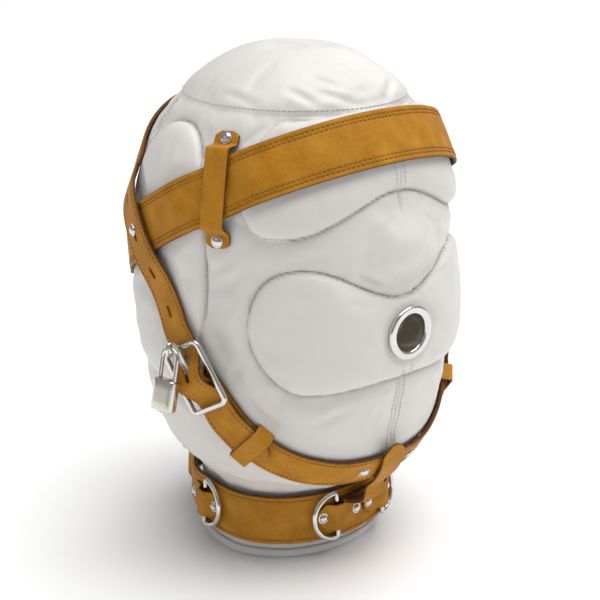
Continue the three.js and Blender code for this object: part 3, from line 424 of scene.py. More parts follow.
class Build:
    """Collects points and faces of one piece, with one number per point for its edge shade."""

    def __init__(self):
        self.points, self.faces, self.edge, self.count = [], [], [], 0

    def loft(self, rings, loop=False, edge=None):
        rings = np.asarray(rings, float)
        nu, nv = rings.shape[:2]
        self.faces += grid_faces(nu, nv, self.count, loop, True)
        if not loop:
            first = self.count + np.arange(nv)
            self.faces += [first.tolist(), (first + (nu - 1) * nv).tolist()]
        self.points.append(rings.reshape(-1, 3))
        value = np.zeros((nu, nv)) if edge is None else np.broadcast_to(edge, (nu, nv))
        self.edge.append(value.ravel())
        self.count += nu * nv
        return self

    def raw(self, points, faces, edge=0.0):
        self.faces += [[k + self.count for k in f] for f in faces]
        self.points.append(np.asarray(points, float))
        self.edge.append(np.full(len(points), float(edge)))
        self.count += len(points)
        return self

    def make(self, name, material, slot, body="hood", nodes=(), how=as_is, sharp=None):
        p = np.concatenate(self.points)
        return piece(name, how(p), self.faces, material, body, nodes,
                     {"edge": np.concatenate(self.edge)}, sharp)


def strap_profile(across=18, corner=4):
    """Points round a strap's section: side and corner shares in y and z, and how much of an edge each is."""
    rows = []
    for k in range(across + 1):
        rows.append((1 - 2 * k / across, 0, 1, 1, 0))
    for k in range(1, corner + 1):
        t = math.pi / 2 * k / corner
        rows.append((-1, -math.sin(t), 1, math.cos(t), smooth(k / corner)))
    for k in range(corner + 1):
        t = math.pi / 2 * k / corner
        rows.append((-1, -math.cos(t), -1, -math.sin(t), 1))
    for k in range(1, 5):
        rows.append((-1 + 2 * k / 5, 0, -1, -1, 1))
    for k in range(corner + 1):
        t = math.pi / 2 * k / corner
        rows.append((1, math.sin(t), -1, -math.cos(t), 1))
    for k in range(corner):
        t = math.pi / 2 * k / corner
        rows.append((1, math.cos(t), 1, math.sin(t), smooth(1 - k / corner)))
    return np.array(rows, float).T


def strap_rings(frames, inner, ply, width, grooves=(), across=18, camber=0.25, wave=0.0):
    """Rings of a strap over frames, one per section, its underside at inner."""
    side, cy, sz, cz, edge = strap_profile(across)
    n = len(frames.o)
    inner, ply, width = (np.broadcast_to(np.asarray(v, float), n)[:, None] for v in (inner, ply, width))
    r = np.minimum(np.minimum(ply * 0.42, 0.95), width * 0.4)
    y = side * (width / 2 - r) + cy * r
    z = inner + ply / 2 + sz * (ply / 2 - r) + cz * r
    top = (1 - edge) * (sz > 0)
    z = z + top * camber * (1 - (2 * y / width) ** 2)
    for g in grooves:
        z = z - top * 0.42 * np.exp(-(((np.abs(y) - (width / 2 - g)) / 0.55) ** 2))
    if wave:
        s = np.arange(n)[:, None] * 1.0
        z = z + wave * np.sin(s / 9.0 + y / 11.0) * np.sin(s / 23.0 + 1.3)
    f = Frame(frames.o[:, None], frames.x[:, None], frames.y[:, None], frames.z[:, None])
    return f.at(0, y, z), np.broadcast_to(edge, (n, len(edge)))


def tube_rings(points, radius, around, up):
    """Rings of a round wire along points."""
    p = np.asarray(points, float)
    d = unit(np.gradient(p, axis=0))
    side = unit(np.cross(d, up))
    lift = np.cross(side, d)
    c, s = circle(around)
    return p[:, None] + radius * (c[None, :, None] * side[:, None] + s[None, :, None] * lift[:, None])


def ring_rings(points, radius, around, up, squash=1.0, n=2.0):
    """Rings of a wire round a closed line of points; n over 2 squares its section."""
    p = np.asarray(points, float)
    d = unit(np.roll(p, -1, 0) - np.roll(p, 1, 0))
    side = unit(np.cross(d, up))
    c, s = (squared(v, 2 / n) for v in circle(around))
    return p[:, None] + radius * (c[None, :, None] * side[:, None] + squash * s[None, :, None] * up)


def lathe_rings(profile, centre, axis, around=48):
    """Rings of a turned form: profile of (radius, height) about the axis through the centre."""
    axis = unit(np.asarray(axis, float))
    u = unit(np.cross(axis, [0.31, 0.2, 0.93]))
    v = np.cross(axis, u)
    c, s = circle(around)
    r, h = np.asarray(profile, float).T
    return (np.asarray(centre) + h[:, None, None] * axis
            + r[:, None, None] * (c[None, :, None] * u + s[None, :, None] * v))


def stitches(build, points, normals, length=2.4, radius=0.32, pitch=3.2):
    """Thread along a line of points: short capsules that lie on the leather."""
    p = np.asarray(points, float)
    s = np.concatenate([[0], np.cumsum(np.linalg.norm(np.diff(p, axis=0), axis=1))])
    count = int(s[-1] // pitch)
    if count < 1:
        return build
    mid = (np.arange(count) + 0.5) * s[-1] / count

    def at(values, where):
        return np.stack([np.interp(where, s, values[:, k]) for k in range(3)], -1)
    a, b = at(p, mid - length / 2), at(p, mid + length / 2)
    n = unit(at(np.asarray(normals, float), mid))
    d = unit(b - a)
    side = np.cross(d, n)
    # along the stitch, how thick, and how far up
    rows = [(-0.5, 0.35, -0.6), (-0.42, 0.8, 0), (-0.2, 1.0, 0.25),
            (0.2, 1.0, 0.25), (0.42, 0.8, 0), (0.5, 0.35, -0.6)]
    c, s = circle(6)
    for k in range(count):
        middle = (a[k] + b[k]) / 2 + n[k] * 0.05
        rings = np.array([middle + d[k] * length * x + n[k] * radius * lift
                          + radius * r * (c[:, None] * side[k] + s[:, None] * n[k])
                          for x, r, lift in rows])
        build.loft(rings)
    return build


# ------------------------------------------------------------------ materials
class Shade:
    """A small node tree builder round one Principled surface."""

    def __init__(self, name):
        self.mat = bpy.data.materials.new(name)
        self.mat.use_nodes = True
        self.tree = self.mat.node_tree
        self.tree.nodes.clear()
        self.out = self.node("ShaderNodeOutputMaterial")
        self.bsdf = self.node("ShaderNodeBsdfPrincipled")
        self.link(self.bsdf.outputs[0], self.out.inputs[0])
        self.where = self.node("ShaderNodeTexCoord").outputs["Object"]

    def node(self, kind, **values):
        n = self.tree.nodes.new(kind)
        for k, v in values.items():
            setattr(n, k, v)
        return n

    def link(self, a, b):
        self.tree.links.new(a, b)

    def noise(self, scale, detail=3.0, stretch=(1, 1, 1), rough=0.5):
        m = self.node("ShaderNodeMapping")
        m.inputs["Scale"].default_value = stretch
        self.link(self.where, m.inputs["Vector"])
        n = self.node("ShaderNodeTexNoise")
        n.inputs["Scale"].default_value = scale
        n.inputs["Detail"].default_value = detail
        n.inputs["Roughness"].default_value = rough
        self.link(m.outputs[0], n.inputs["Vector"])
        return n.outputs[0]

    def cells(self, scale, feature="DISTANCE_TO_EDGE"):
        n = self.node("ShaderNodeTexVoronoi", feature=feature)
        n.inputs["Scale"].default_value = scale
        self.link(self.where, n.inputs["Vector"])
        return n.outputs["Distance"]

    def ramp(self, value, *stops):
        n = self.node("ShaderNodeValToRGB")
        e = n.color_ramp.elements
        while len(e) < len(stops):
            e.new(0.5)
        for item, (at, colour) in zip(e, stops):
            item.position = at
            item.color = (*colour, 1) if len(colour) == 3 else colour
        self.link(value, n.inputs[0])
        return n.outputs[0]

    def mix(self, factor, a, b, kind="MIX"):
        n = self.node("ShaderNodeMix", data_type="RGBA", blend_type=kind)
        for i, v in ((0, factor), (6, a), (7, b)):
            if hasattr(v, "is_linked"):
                self.link(v, n.inputs[i])
            else:
                n.inputs[i].default_value = v if i == 0 else (*v, 1)
        return n.outputs[2]

    def maths(self, kind, a, b=0.0):
        n = self.node("ShaderNodeMath", operation=kind)
        for i, v in enumerate((a, b)):
            if hasattr(v, "is_linked"):
                self.link(v, n.inputs[i])
            else:
                n.inputs[i].default_value = v
        return n.outputs[0]

    def attribute(self, name):
        n = self.node("ShaderNodeAttribute", attribute_name=name)
        return n.outputs["Fac"]

    def bump(self, *layers):
        """layers of (height, strength, distance in metres), each over the one before."""
        last = None
        for height, strength, distance in layers:
            n = self.node("ShaderNodeBump")
            n.inputs["Strength"].default_value = strength
            n.inputs["Distance"].default_value = distance
            self.link(height, n.inputs["Height"])
            if last:
                self.link(last, n.inputs["Normal"])
            last = n.outputs[0]
        self.link(last, self.bsdf.inputs["Normal"])

    def set(self, colour=None, rough=None, **more):
        values = {"Base Color": colour, "Roughness": rough}
        values.update({k.replace("_", " "): v for k, v in more.items()})
        for k, v in values.items():
            if v is None:
                continue
            s = self.bsdf.inputs[k]
            if hasattr(v, "is_linked"):
                self.link(v, s)
            else:
                s.default_value = (*v, 1) if isinstance(v, tuple) else v
        return self.mat


def white_leather():
    s = Shade("white_leather")
    tone = s.ramp(s.noise(14, 4), (0.3, (0.735, 0.71, 0.68)), (0.7, (0.775, 0.752, 0.722)))
    fine = s.noise(900, 3, rough=0.6)
    pores = s.cells(620)
    # painted shade: in the seams' grooves and on the turned-in plies the white leather is darkened to grey
    colour = s.mix(s.attribute("painted_shade"), tone, (0.36, 0.345, 0.33))
    s.bump((s.noise(70, 3), 0.05, 0.001), (pores, 0.14, 0.00025), (fine, 0.10, 0.0002))
    rough = s.ramp(s.noise(45, 3), (0.3, (0.40,) * 3), (0.75, (0.50,) * 3))
    return s.set(colour, rough, Specular_IOR_Level=0.42, Subsurface_Weight=0.04, Subsurface_Scale=0.002)


def tan_leather():
    s = Shade("tan_leather")
    mottled = s.noise(60, 5, rough=0.6)
    grain = s.noise(520, 5, rough=0.7)
    tone = s.ramp(mottled, (0.28, (0.43, 0.172, 0.006)), (0.5, (0.50, 0.212, 0.010)),
                  (0.75, (0.57, 0.255, 0.018)))
    speck = s.ramp(grain, (0.35, (0.80, 0.78, 0.74)), (0.62, (1.0, 1.0, 1.0)))
    face = s.mix(1.0, tone, speck, "MULTIPLY")
    worn = s.mix(s.attribute("wear"), face, (0.60, 0.28, 0.03))
    edge = s.ramp(s.noise(300, 3), (0.3, (0.075, 0.026, 0.006)), (0.7, (0.135, 0.048, 0.010)))
    colour = s.mix(s.attribute("edge"), worn, edge)
    s.bump((mottled, 0.12, 0.0008), (grain, 0.42, 0.0003), (s.cells(900), 0.12, 0.0002))
    rough = s.ramp(grain, (0.3, (0.52,) * 3), (0.7, (0.70,) * 3))
    return s.set(colour, rough, Specular_IOR_Level=0.22, Sheen_Weight=0.03, Sheen_Roughness=0.4)


def metal(name, colour, low=0.10, high=0.26):
    s = Shade(name)
    scratch = s.noise(700, 4, stretch=(1, 1, 0.06))
    smudge = s.noise(90, 3)
    dull = tuple(c * 0.72 for c in colour)
    tone = s.mix(s.ramp(smudge, (0.35, (0,) * 3), (0.8, (0.35,) * 3)), colour, dull)
    rough = s.ramp(smudge, (0.3, (low,) * 3), (0.75, (high,) * 3))
    s.bump((scratch, 0.05, 0.0001), (s.noise(160, 2), 0.04, 0.0005))
    return s.set(tone, rough, Metallic=1.0)


def cloth(name, dark, light, scale=900, glow=0.0):
    s = Shade(name)
    weave_a = s.noise(scale, 2, stretch=(1, 1, 0.15))
    weave_b = s.noise(scale, 2, stretch=(0.15, 0.15, 1))
    weave = s.maths("MULTIPLY", weave_a, weave_b)
    tone = s.ramp(weave, (0.15, dark), (0.4, light))
    s.bump((weave, 0.5, 0.0004), (s.noise(40, 3), 0.15, 0.002))
    # glow makes the cloth give off light in its own tone: painted light
    return s.set(tone, 0.85, Specular_IOR_Level=0.2, Sheen_Weight=0.2,
                 Emission_Color=tone, Emission_Strength=glow)


def foam_material():
    s = Shade("pad_foam")
    cell = s.cells(700, "F1")
    tone = s.ramp(cell, (0.1, (0.86, 0.80, 0.60)), (0.6, (0.62, 0.56, 0.40)))
    s.bump((cell, 0.6, 0.0006),)
    return s.set(tone, 0.95, Specular_IOR_Level=0.1)


def thread_material(name, colour):
    s = Shade(name)
    twist = s.noise(2600, 2)
    s.bump((twist, 0.4, 0.0001),)
    dark = tuple(c * 0.7 for c in colour)
    return s.set(s.ramp(twist, (0.35, dark), (0.65, colour)), 0.7, Specular_IOR_Level=0.25)


WHITE, TAN = white_leather(), tan_leather()
NICKEL = metal("polished_nickel", (0.70, 0.685, 0.66))
LOCK_NICKEL = metal("lock_nickel", (0.72, 0.68, 0.60), 0.14, 0.30)
# the lining is given a faint glow: painted light that brightens it inside the hood
LINING = cloth("lining_cloth", (0.42, 0.40, 0.33), (0.58, 0.55, 0.47), glow=0.10)
TAPE = cloth("zip_tape", (0.40, 0.19, 0.03), (0.55, 0.27, 0.05))
FOAM = foam_material()
WHITE_THREAD = thread_material("white_thread", (0.74, 0.72, 0.69))
TAN_THREAD = thread_material("tan_thread", (0.36, 0.16, 0.03))


# ------------------------------------------------------------------ the hood's skin on one fine grid
FLAT, ROUND = DOME, 181.0  # lengths up the side and over the dome
COLUMNS, ROWS = 720, 340  # half a degree, about 1.16 mm


def height_at(v):
    s = np.asarray(v, float) * (FLAT + ROUND)
    over = DOME + (HEIGHT - DOME) * np.sin(np.clip((s - FLAT) / ROUND, 0, 1) * math.pi / 2)
    return np.where(s < FLAT, s, over)


def level_of(z):
    z = np.asarray(z, float)
    over = FLAT + ROUND * np.arcsin(np.clip((z - DOME) / (HEIGHT - DOME), 0, 1)) * 2 / math.pi
    return np.where(z < DOME, z, over) / (FLAT + ROUND)


def grid(rows, columns):
    v = np.linspace(0, 1, rows)
    z = np.minimum(height_at(v), HEIGHT - 0.05)
    a = wrap(np.arange(columns) * 360.0 / columns)
    a, z = np.meshgrid(a, z)
    return a, z


def spacing(p):
    """Steps along the rows and the columns of a closed grid of points, in mm."""
    across = np.linalg.norm(np.roll(p, -1, 1) - np.roll(p, 1, 1), axis=-1) / 2
    up = np.linalg.norm(np.gradient(p, axis=0), axis=-1)
    return np.maximum(across, 0.05), np.maximum(up, 0.05)


def true_distance(f, across, up):
    """A field of any steepness as a distance in mm from where it is zero."""
    gu = (np.roll(f, -1, 1) - np.roll(f, 1, 1)) / 2 / across
    gv = np.gradient(f, axis=0) / up
    return f / np.clip(np.hypot(gu, gv), 0.5, 4.0)


def near(p, q):
    """Distance from each of p to a line of points q."""
    flat = p.reshape(-1, 3)
    best = np.full(len(flat), 1e9)
    for k in range(0, len(q), 16):
        d = ((flat[:, None] - q[None, k:k + 16]) ** 2).sum(-1).min(1)
        best = np.minimum(best, d)
    return np.sqrt(best).reshape(p.shape[:-1])


class Fields:
    """Distances on a grid of the hood: to seams, pad outlines and straps."""

    def __init__(self, rows, columns):
        self.a, self.z = grid(rows, columns)
        a, z = self.a, self.z
        self.base = plain(a, z)
        self.n = normal(a, z)
        across, up = spacing(self.base)
        self.pads = []
        for pad in (EYE, CHEEK):
            level, half = wing(pad, a)
            past = np.abs(a) - pad["end"]
            f = np.where(past < 0, half - np.abs(z - level), -np.abs(z - level) - past * 1.8)
            self.pads.append(true_distance(f, across, up))
        self.pads.append(true_distance(ear_inside(a, z), across, up))
        mm = np.hypot(self.base[..., 0], self.base[..., 1])
        self.front = np.where(np.abs(a) < 90, np.abs(self.base[..., 0]), 99)
        self.rear = np.abs(np.abs(a) - BACK_SEAM) * np.radians(1) * mm
        self.crown = (z - CROWN_SEAM) * up / np.maximum(np.abs(np.gradient(z, axis=0)), 1e-3)
        self.port = np.where(np.abs(a) < 60, np.hypot(self.base[..., 0], z - MOUTH), 99)
        coarse = self.base[::2, ::2]
        lines = [(jaw, STRAP), (band, BAND), (temple, 16), (collar, 34)]
        self.straps = []
        for path, width in lines:
            q = plain(path.a, path.z)[::6]
            if path in (jaw, temple):
                q = np.concatenate([q, mirrored(q)])
            d = near(coarse, q) - width / 2
            d = np.repeat(np.repeat(d, 2, 0), 2, 1)[:rows, :columns]
            self.straps.append(blur(d, 1))


def blur(f, times=1):
    """A closed grid f, each value shared with its neighbours."""
    for _ in range(times):
        f = (np.roll(f, 1, 1) + 2 * f + np.roll(f, -1, 1)) / 4
        up = np.vstack([f[:1], f[:-1]])
        down = np.vstack([f[1:], f[-1:]])
        f = (up + 2 * f + down) / 4
    return f


def resample(f, rows, columns):
    """A closed grid f on a finer grid, by cubic steps."""
    def along(g, count, closed):
        n = g.shape[0]
        t = np.arange(count) * n / count if closed else np.linspace(0, n - 1, count)
        i = t.astype(int)
        w = (t - i)[:, None]
        k = [(i + j) % n if closed else np.clip(i + j, 0, n - 1) for j in (-1, 0, 1, 2)]
        a, b, c, d = (g[j] for j in k)
        return b + 0.5 * w * (c - a + w * (2 * a - 5 * b + 4 * c - d + w * (3 * (b - c) + d - a)))
    return along(along(f, rows, False).T, columns, True).T


# Folds in the leather: from and to in degrees and mm up, then how wide and how deep.
FOLDS = [
    (9, 209, 19, 219, 2.6, 1.5), (13, 203, 25, 211, 2.4, 1.1), (5, 214, 12, 226, 2.4, 1.2),
    (-8, 208, -18, 217, 2.6, 1.4), (-4, 215, -12, 228, 2.4, 1.2), (-14, 202, -26, 209, 2.4, 1.0),
    (17, 226, 30, 224, 3.0, 0.9), (-18, 227, -31, 225, 3.0, 0.9),
    (22, 232, 40, 226, 3.4, 1.0), (-24, 233, -41, 227, 3.4, 1.0),
    (6, 247, 15, 238, 2.6, 0.9), (-7, 246, -16, 238, 2.6, 0.9),
    (3, 202, 4, 192, 2.2, 0.9), (-5, 203, -6, 193, 2.2, 0.8),
    (20, 130, 34, 118, 3.2, 0.9), (-22, 131, -36, 117, 3.2, 0.9), (8, 128, 12, 112, 3.0, 0.8),
    (48, 118, 60, 136, 3.6, 1.1), (-48, 117, -60, 134, 3.6, 1.1), (58, 160, 66, 140, 3.4, 0.9),
    (12, 62, 26, 72, 3.0, 1.0), (34, 66, 52, 78, 3.4, 1.0), (60, 70, 80, 84, 3.8, 1.0),
    (-14, 62, -30, 73, 3.0, 1.0), (-44, 70, -64, 80, 3.6, 1.0), (96, 74, 118, 88, 3.8, 1.0),
    (62, 226, 70, 214, 3.0, 0.9), (56, 222, 64, 206, 3.0, 0.8), (84, 120, 96, 132, 4.0, 1.0),
    (8, 312, 26, 318, 3.0, 1.0), (30, 313, 44, 320, 2.8, 0.9), (-10, 312, -30, 319, 3.0, 1.0),
    (14, 320, 30, 326, 2.8, 0.8), (60, 312, 84, 316, 3.0, 0.8), (-60, 312, -84, 316, 3.0, 0.8),
    (140, 200, 150, 168, 4.0, 1.2), (142, 160, 156, 130, 4.2, 1.2), (-140, 204, -150, 170, 4.0, 1.2),
    (-142, 158, -156, 128, 4.2, 1.2), (150, 240, 160, 222, 4.0, 1.0), (-150, 240, -160, 222, 4.0, 1.0),
]


def folds(f):
    """How far the folds move each point out: a valley with a ridge beside it."""
    out = np.zeros(f.a.shape)
    for a0, z0, a1, z1, width, depth in FOLDS:
        p, q = surface(a0, z0), surface(a1, z1)
        box_low, box_high = np.minimum(p, q) - 16, np.maximum(p, q) + 16
        inside = np.all((f.base > box_low) & (f.base < box_high), axis=-1)
        b = f.base[inside]
        d = q - p
        t = np.clip(((b - p) @ d) / (d @ d), 0, 1)
        side = np.linalg.norm(b - (p + t[:, None] * d), axis=-1)
        bend = 1 - 0.7 * (2 * t - 1) ** 2
        ridge = 0.55 * np.exp(-(((side - 1.7 * width) / width) ** 2))
        out[inside] += depth * bend * (ridge - np.exp(-((side / width) ** 2)))
    return out


def settle(f):
    """How far each point of a coarse grid moves out when the leather is stuffed: sewn lines and strapped
    places stay, and the leather between them fills like a cushion and puckers at its stitches."""
    rows, columns = f.a.shape
    p = f.base + f.n * (nose_rise(f.a, f.z) + pad_rise(f.a, f.z))[..., None]
    m = bpy.data.meshes.new("stuffing")
    apex = rows * columns
    points = np.vstack([p.reshape(-1, 3), [[0, 0, HEIGHT]]])
    faces = grid_faces(rows, columns, 0, False, True)
    m.from_pydata((points / 1000).tolist(), [], faces)
    o = put("stuffing", m)
    hold = np.zeros(f.a.shape)
    seam = np.where(((f.z > 262) & (f.z < 300)) | (f.z < MOUTH - 20), f.front, 99)
    for d in [np.abs(x) for x in f.pads] + [seam, np.where(f.z < 308, f.rear, 99), np.abs(f.crown)]:
        hold = np.maximum(hold, np.clip((4.0 - d) / 2.0, 0, 1))
    for d in f.straps:
        hold = np.maximum(hold, np.clip((5.0 - d) / 5.0, 0, 1))
    hold = np.maximum(hold, np.clip((24 - f.port) / 5, 0, 1))
    hold[f.z < 62] = 1
    hold[-2:] = 1
    group = o.vertex_groups.new(name="hold")
    for i, w in enumerate(np.append(hold.ravel(), 1)):
        if w > 0:
            group.add([i], float(w), "REPLACE")
    c = o.modifiers.new("Cloth", "CLOTH")
    s = c.settings
    s.quality, s.mass, s.air_damping = 6, 0.4, 2.0
    s.tension_stiffness = s.compression_stiffness = 18
    s.shear_stiffness, s.bending_stiffness = 6, 1.2
    s.vertex_group_mass = "hold"
    s.pin_stiffness = 1
    s.shrink_min = -0.035
    s.use_pressure, s.uniform_pressure_force = True, 4.0
    s.effector_weights.gravity = 0
    c.point_cache.frame_start, c.point_cache.frame_end = 1, 20
    scene = bpy.context.scene
    for k in range(1, 21):
        scene.frame_set(k)
    done = o.evaluated_get(bpy.context.evaluated_depsgraph_get()).to_mesh()
    q = np.empty(len(done.vertices) * 3, np.float32)
    done.vertices.foreach_get("co", q)
    moved = q.reshape(-1, 3)[:apex].reshape(rows, columns, 3) * 1000 - p
    bpy.data.objects.remove(o)
    scene.frame_set(1)
    return np.clip((moved * f.n).sum(-1), -2.0, 3.0)


def skin(f, stuffed):
    """Every point of the hood's outside, and how much shade is painted into it along its seams."""
    pad = np.zeros(f.a.shape)
    for d in f.pads:
        pad = np.maximum(pad, shoulder(d, 24))
    under = np.zeros(f.a.shape)
    press = np.zeros(f.a.shape)
    for d, gap in zip(f.straps, (1.3, 0.9, 0.2, 1.0)):
        here = 1 - smooth(np.maximum(d, 0) / 10)
        press = np.where(here > under, gap, press)
        under = np.maximum(under, here)
    lift = lerp(lerp(-1.3, 1.5, pad) + stuffed, press + 0.12 * stuffed, under)
    lift = lift + 0.4 * hash_noise(f.base, 70, 1.0) * (1 - under) + 0.08 * hash_noise(f.base, 22, 2.0)
    brow = smooth((f.z - 244) / 12)
    chin = 1 - smooth((f.z - 146) / 8)
    brow = brow * (1 - smooth((f.z - 296) / 10))
    forehead = 1 - smooth((np.abs(f.a) - 26) / 24)
    # each seam's distance, width and depth
    seams = [(f.front, 1.3, 0.05 + 0.8 * np.maximum(brow, chin)),
             (f.rear, 1.4, 1.6 * (1 - smooth((f.z - 304) / 4))),
             (np.abs(f.crown), 1.6, 0.2 + 0.9 * forehead)]
    seams += [(np.abs(d), 1.5, 1.5) for d in f.pads]
    clear = smooth((f.port - 19) / 5)
    painted_shade = np.zeros(f.a.shape)
    pucker = hash_noise(f.base, 9.0, 4.0)
    for i, (d, width, depth) in enumerate(seams):
        if i >= 3:  # an outline ends where it runs into another pad's filling
            others = np.max([p for k, p in enumerate(f.pads) if k != i - 3], axis=0)
            here = 1 - smooth((others - 2) / 4)
            if i == 3:
                here = here * (1 - 0.85 * smooth((np.abs(f.a) - 40) / 9))
        else:
            here = np.ones(f.a.shape)
        if i == 0:
            here = here * np.where(f.z < 60, 0, 1)
        here = here * clear
        lift = lift - depth * here * (1 - 0.8 * under) * np.exp(-((d / width) ** 2))
        here = here * (1 - 0.75 * under)
        lift = lift + 0.30 * pucker * here * np.exp(-d / 5.0)
        # painted shade along each seam, stronger the deeper its groove
        strength = 0.75 * np.minimum(1, np.asarray(depth) / 1.6) ** 1.5
        painted_shade = np.maximum(painted_shade, here * np.exp(-((d / 0.7) ** 2)) * strength)
    lift = lift + folds(f) * (1 - 0.8 * under)
    above_collar = smooth((f.z - 50) / 14)
    lift = lift * above_collar + 0.6 * hash_noise(f.base, 26, 6.0) * (1 - above_collar)
    lift = lerp(0.3, lift, smooth((f.port - 17) / 6))
    lift[-1] = lift[-1].mean()
    p = f.base + f.n * (nose_rise(f.a, f.z) + pad_rise(f.a, f.z) + lift)[..., None]
    return p, painted_shade


fine = Fields(ROWS, COLUMNS)
rough = Fields(88, 144)
stuffed = 0.8 * blur(resample(settle(rough), ROWS, COLUMNS), 12)
SKIN, PAINTED_SHADE = skin(fine, stuffed)
SKIN_N = fine.n


def skin_at(a, z, offset=0.0):
    """A point on the finished skin, and the way out there."""
    a, z = arr(a, z)
    u = (a % 360) / 360 * COLUMNS
    v = level_of(z) * (ROWS - 1)
    i, j = np.clip(v.astype(int), 0, ROWS - 2), u.astype(int) % COLUMNS
    wv, wu = (v - i)[..., None], (u - u.astype(int))[..., None]
    j2 = (j + 1) % COLUMNS

    def pick(g):
        return ((g[i, j] * (1 - wu) + g[i, j2] * wu) * (1 - wv)
                + (g[i + 1, j] * (1 - wu) + g[i + 1, j2] * wu) * wv)
    n = unit(pick(SKIN_N))
    return pick(SKIN) + n * np.broadcast_to(offset, a.shape)[..., None], n


# ------------------------------------------------------------------ panels, hem, lining and foam
def turned_in(points, normals, faces, depths=(1.3, 3.0)):
    """Turns a sheet's open edges inwards, so that it reads as a ply with thickness."""
    f = np.array(faces)
    edges = np.concatenate([f[:, [k, (k + 1) % 4]] for k in range(4)])
    key = np.sort(edges, axis=1)
    _, index, count = np.unique(key, axis=0, return_index=True, return_counts=True)
    border = edges[index[count == 1]]
    where = np.unique(border)
    points, faces = [points], list(faces)
    total, last = len(points[0]), {int(k): int(k) for k in where}
    for depth in depths:
        fresh = {int(k): total + i for i, k in enumerate(where)}
        points.append(points[0][where] - normals[where] * depth)
        faces += [[last[int(b)], last[int(a)], fresh[int(a)], fresh[int(b)]] for a, b in border]
        total, last = total + len(where), fresh
    return np.concatenate(points), faces


def row_of(z):
    return int(round(float(level_of(z)) * (ROWS - 1)))


def panel(name, columns, gap):
    """A leather panel of the skin's columns, from the hem to the crown seam, without the quads in the gap."""
    rows = np.arange(np.argmax(fine.z[:, 0] >= HEM), row_of(CROWN_SEAM) + 1)
    cut = np.ix_(rows, np.asarray(columns) % COLUMNS)
    p, n, c = (g[cut] for g in (SKIN, SKIN_N, PAINTED_SHADE))
    hole = gap(fine.a[cut].ravel(), fine.z[cut].ravel())
    faces = [q for q in grid_faces(*p.shape[:2]) if not all(hole[k] for k in q)]
    pts, faces = turned_in(p.reshape(-1, 3), n.reshape(-1, 3), faces)
    # the turned-in plies take painted shade
    painted_shade = np.concatenate([c.ravel(), np.full(len(pts) - c.size, 0.9)])
    piece(name, pts, faces, WHITE, nodes=(name,), attrs={"painted_shade": painted_shade}, sharp=55)


def in_port(a, z):
    p = plain(a, z)
    return (np.abs(a) < 30) & (np.hypot(p[:, 0], p[:, 2] - MOUTH) < PORT["barrel"] + 0.6)


def in_zip(a, z):
    return (np.abs(a) > 176.9) & (z > 57) & (z < 270)


quarter = int(BACK_SEAM * COLUMNS / 360)
panel("face_panel_right", np.arange(0, quarter + 1), in_port)
panel("face_panel_left", np.arange(-quarter, 1), in_port)
panel("back_panel_right", np.arange(quarter, COLUMNS // 2 + 1), in_zip)
panel("back_panel_left", np.arange(COLUMNS // 2, COLUMNS - quarter + 1), in_zip)


def crown():
    first = row_of(CROWN_SEAM)
    p, c = SKIN[first:, ::2], PAINTED_SHADE[first:, ::2]
    nu, nv = p.shape[:2]
    faces = grid_faces(nu, nv, 0, False, True)
    top = len(p.reshape(-1, 3))
    last = (nu - 1) * nv + np.arange(nv)
    faces += [[int(last[k]), int(last[(k + 1) % nv]), top] for k in range(nv)]
    inner = p[0] - SKIN_N[first, ::2] * 3.0
    pts = np.vstack([p.reshape(-1, 3), [p[-1].mean(0)], inner])
    faces += [[(k + 1) % nv, k, top + 1 + k, top + 1 + (k + 1) % nv] for k in range(nv)]
    # the turned-in plies take painted shade
    painted_shade = np.concatenate([c.ravel(), [0], np.full(nv, 0.9)])
    piece("crown_panel", pts, faces, WHITE, nodes=("crown_panel",),
          attrs={"painted_shade": painted_shade}, sharp=55)


def hem():
    """The binding round the neck's edge, flat where it stands."""
    p = plain(wrap(np.linspace(0, 360, 300, endpoint=False)), 0.0)
    out = unit(p * [1, 1, 0])
    c, s = (squared(v, 0.7) for v in circle(22))
    rings = p[:, None] + (-1.3 + 2.75 * c)[None, :, None] * out[:, None]
    rings = rings + (3.35 + 3.3 * s)[None, :, None] * np.array([0, 0, 1.0])
    rings[..., 2] = np.maximum(rings[..., 2], 0)
    b = Build().loft(rings, loop=True)
    pts = np.concatenate(b.points)
    piece("neck_hem", pts, b.faces, WHITE, nodes=("neck_hem",),
          attrs={"painted_shade": np.zeros(len(pts))})


def lining():
    z = height_at(np.linspace(float(level_of(HEM + 0.8)), 1, 90))
    a = wrap(np.linspace(0, 360, 180, endpoint=False))
    a, z = np.meshgrid(a, np.minimum(z, HEIGHT - 3))
    depth = lerp(4.6, LINING_DEPTH, smooth((z - 60) / 50))
    ripple = 0.7 * hash_noise(plain(a, z), 30, 9.0)
    n = normal(a, z)
    pts = plain(a, z) - n * (depth - ripple)[..., None]
    nu, nv = a.shape
    hole = in_port(a.ravel(), z.ravel())
    quads = [q for q in grid_faces(nu, nv, 0, False, True) if not all(hole[k] for k in q)]
    pts, quads = turned_in(pts.reshape(-1, 3), n.reshape(-1, 3), quads, (LINING_PLY,))
    top = [k + (nu - 1) * nv for k in range(nv)]
    piece("inner_lining", pts, quads + [top], LINING, nodes=("inner_lining",))


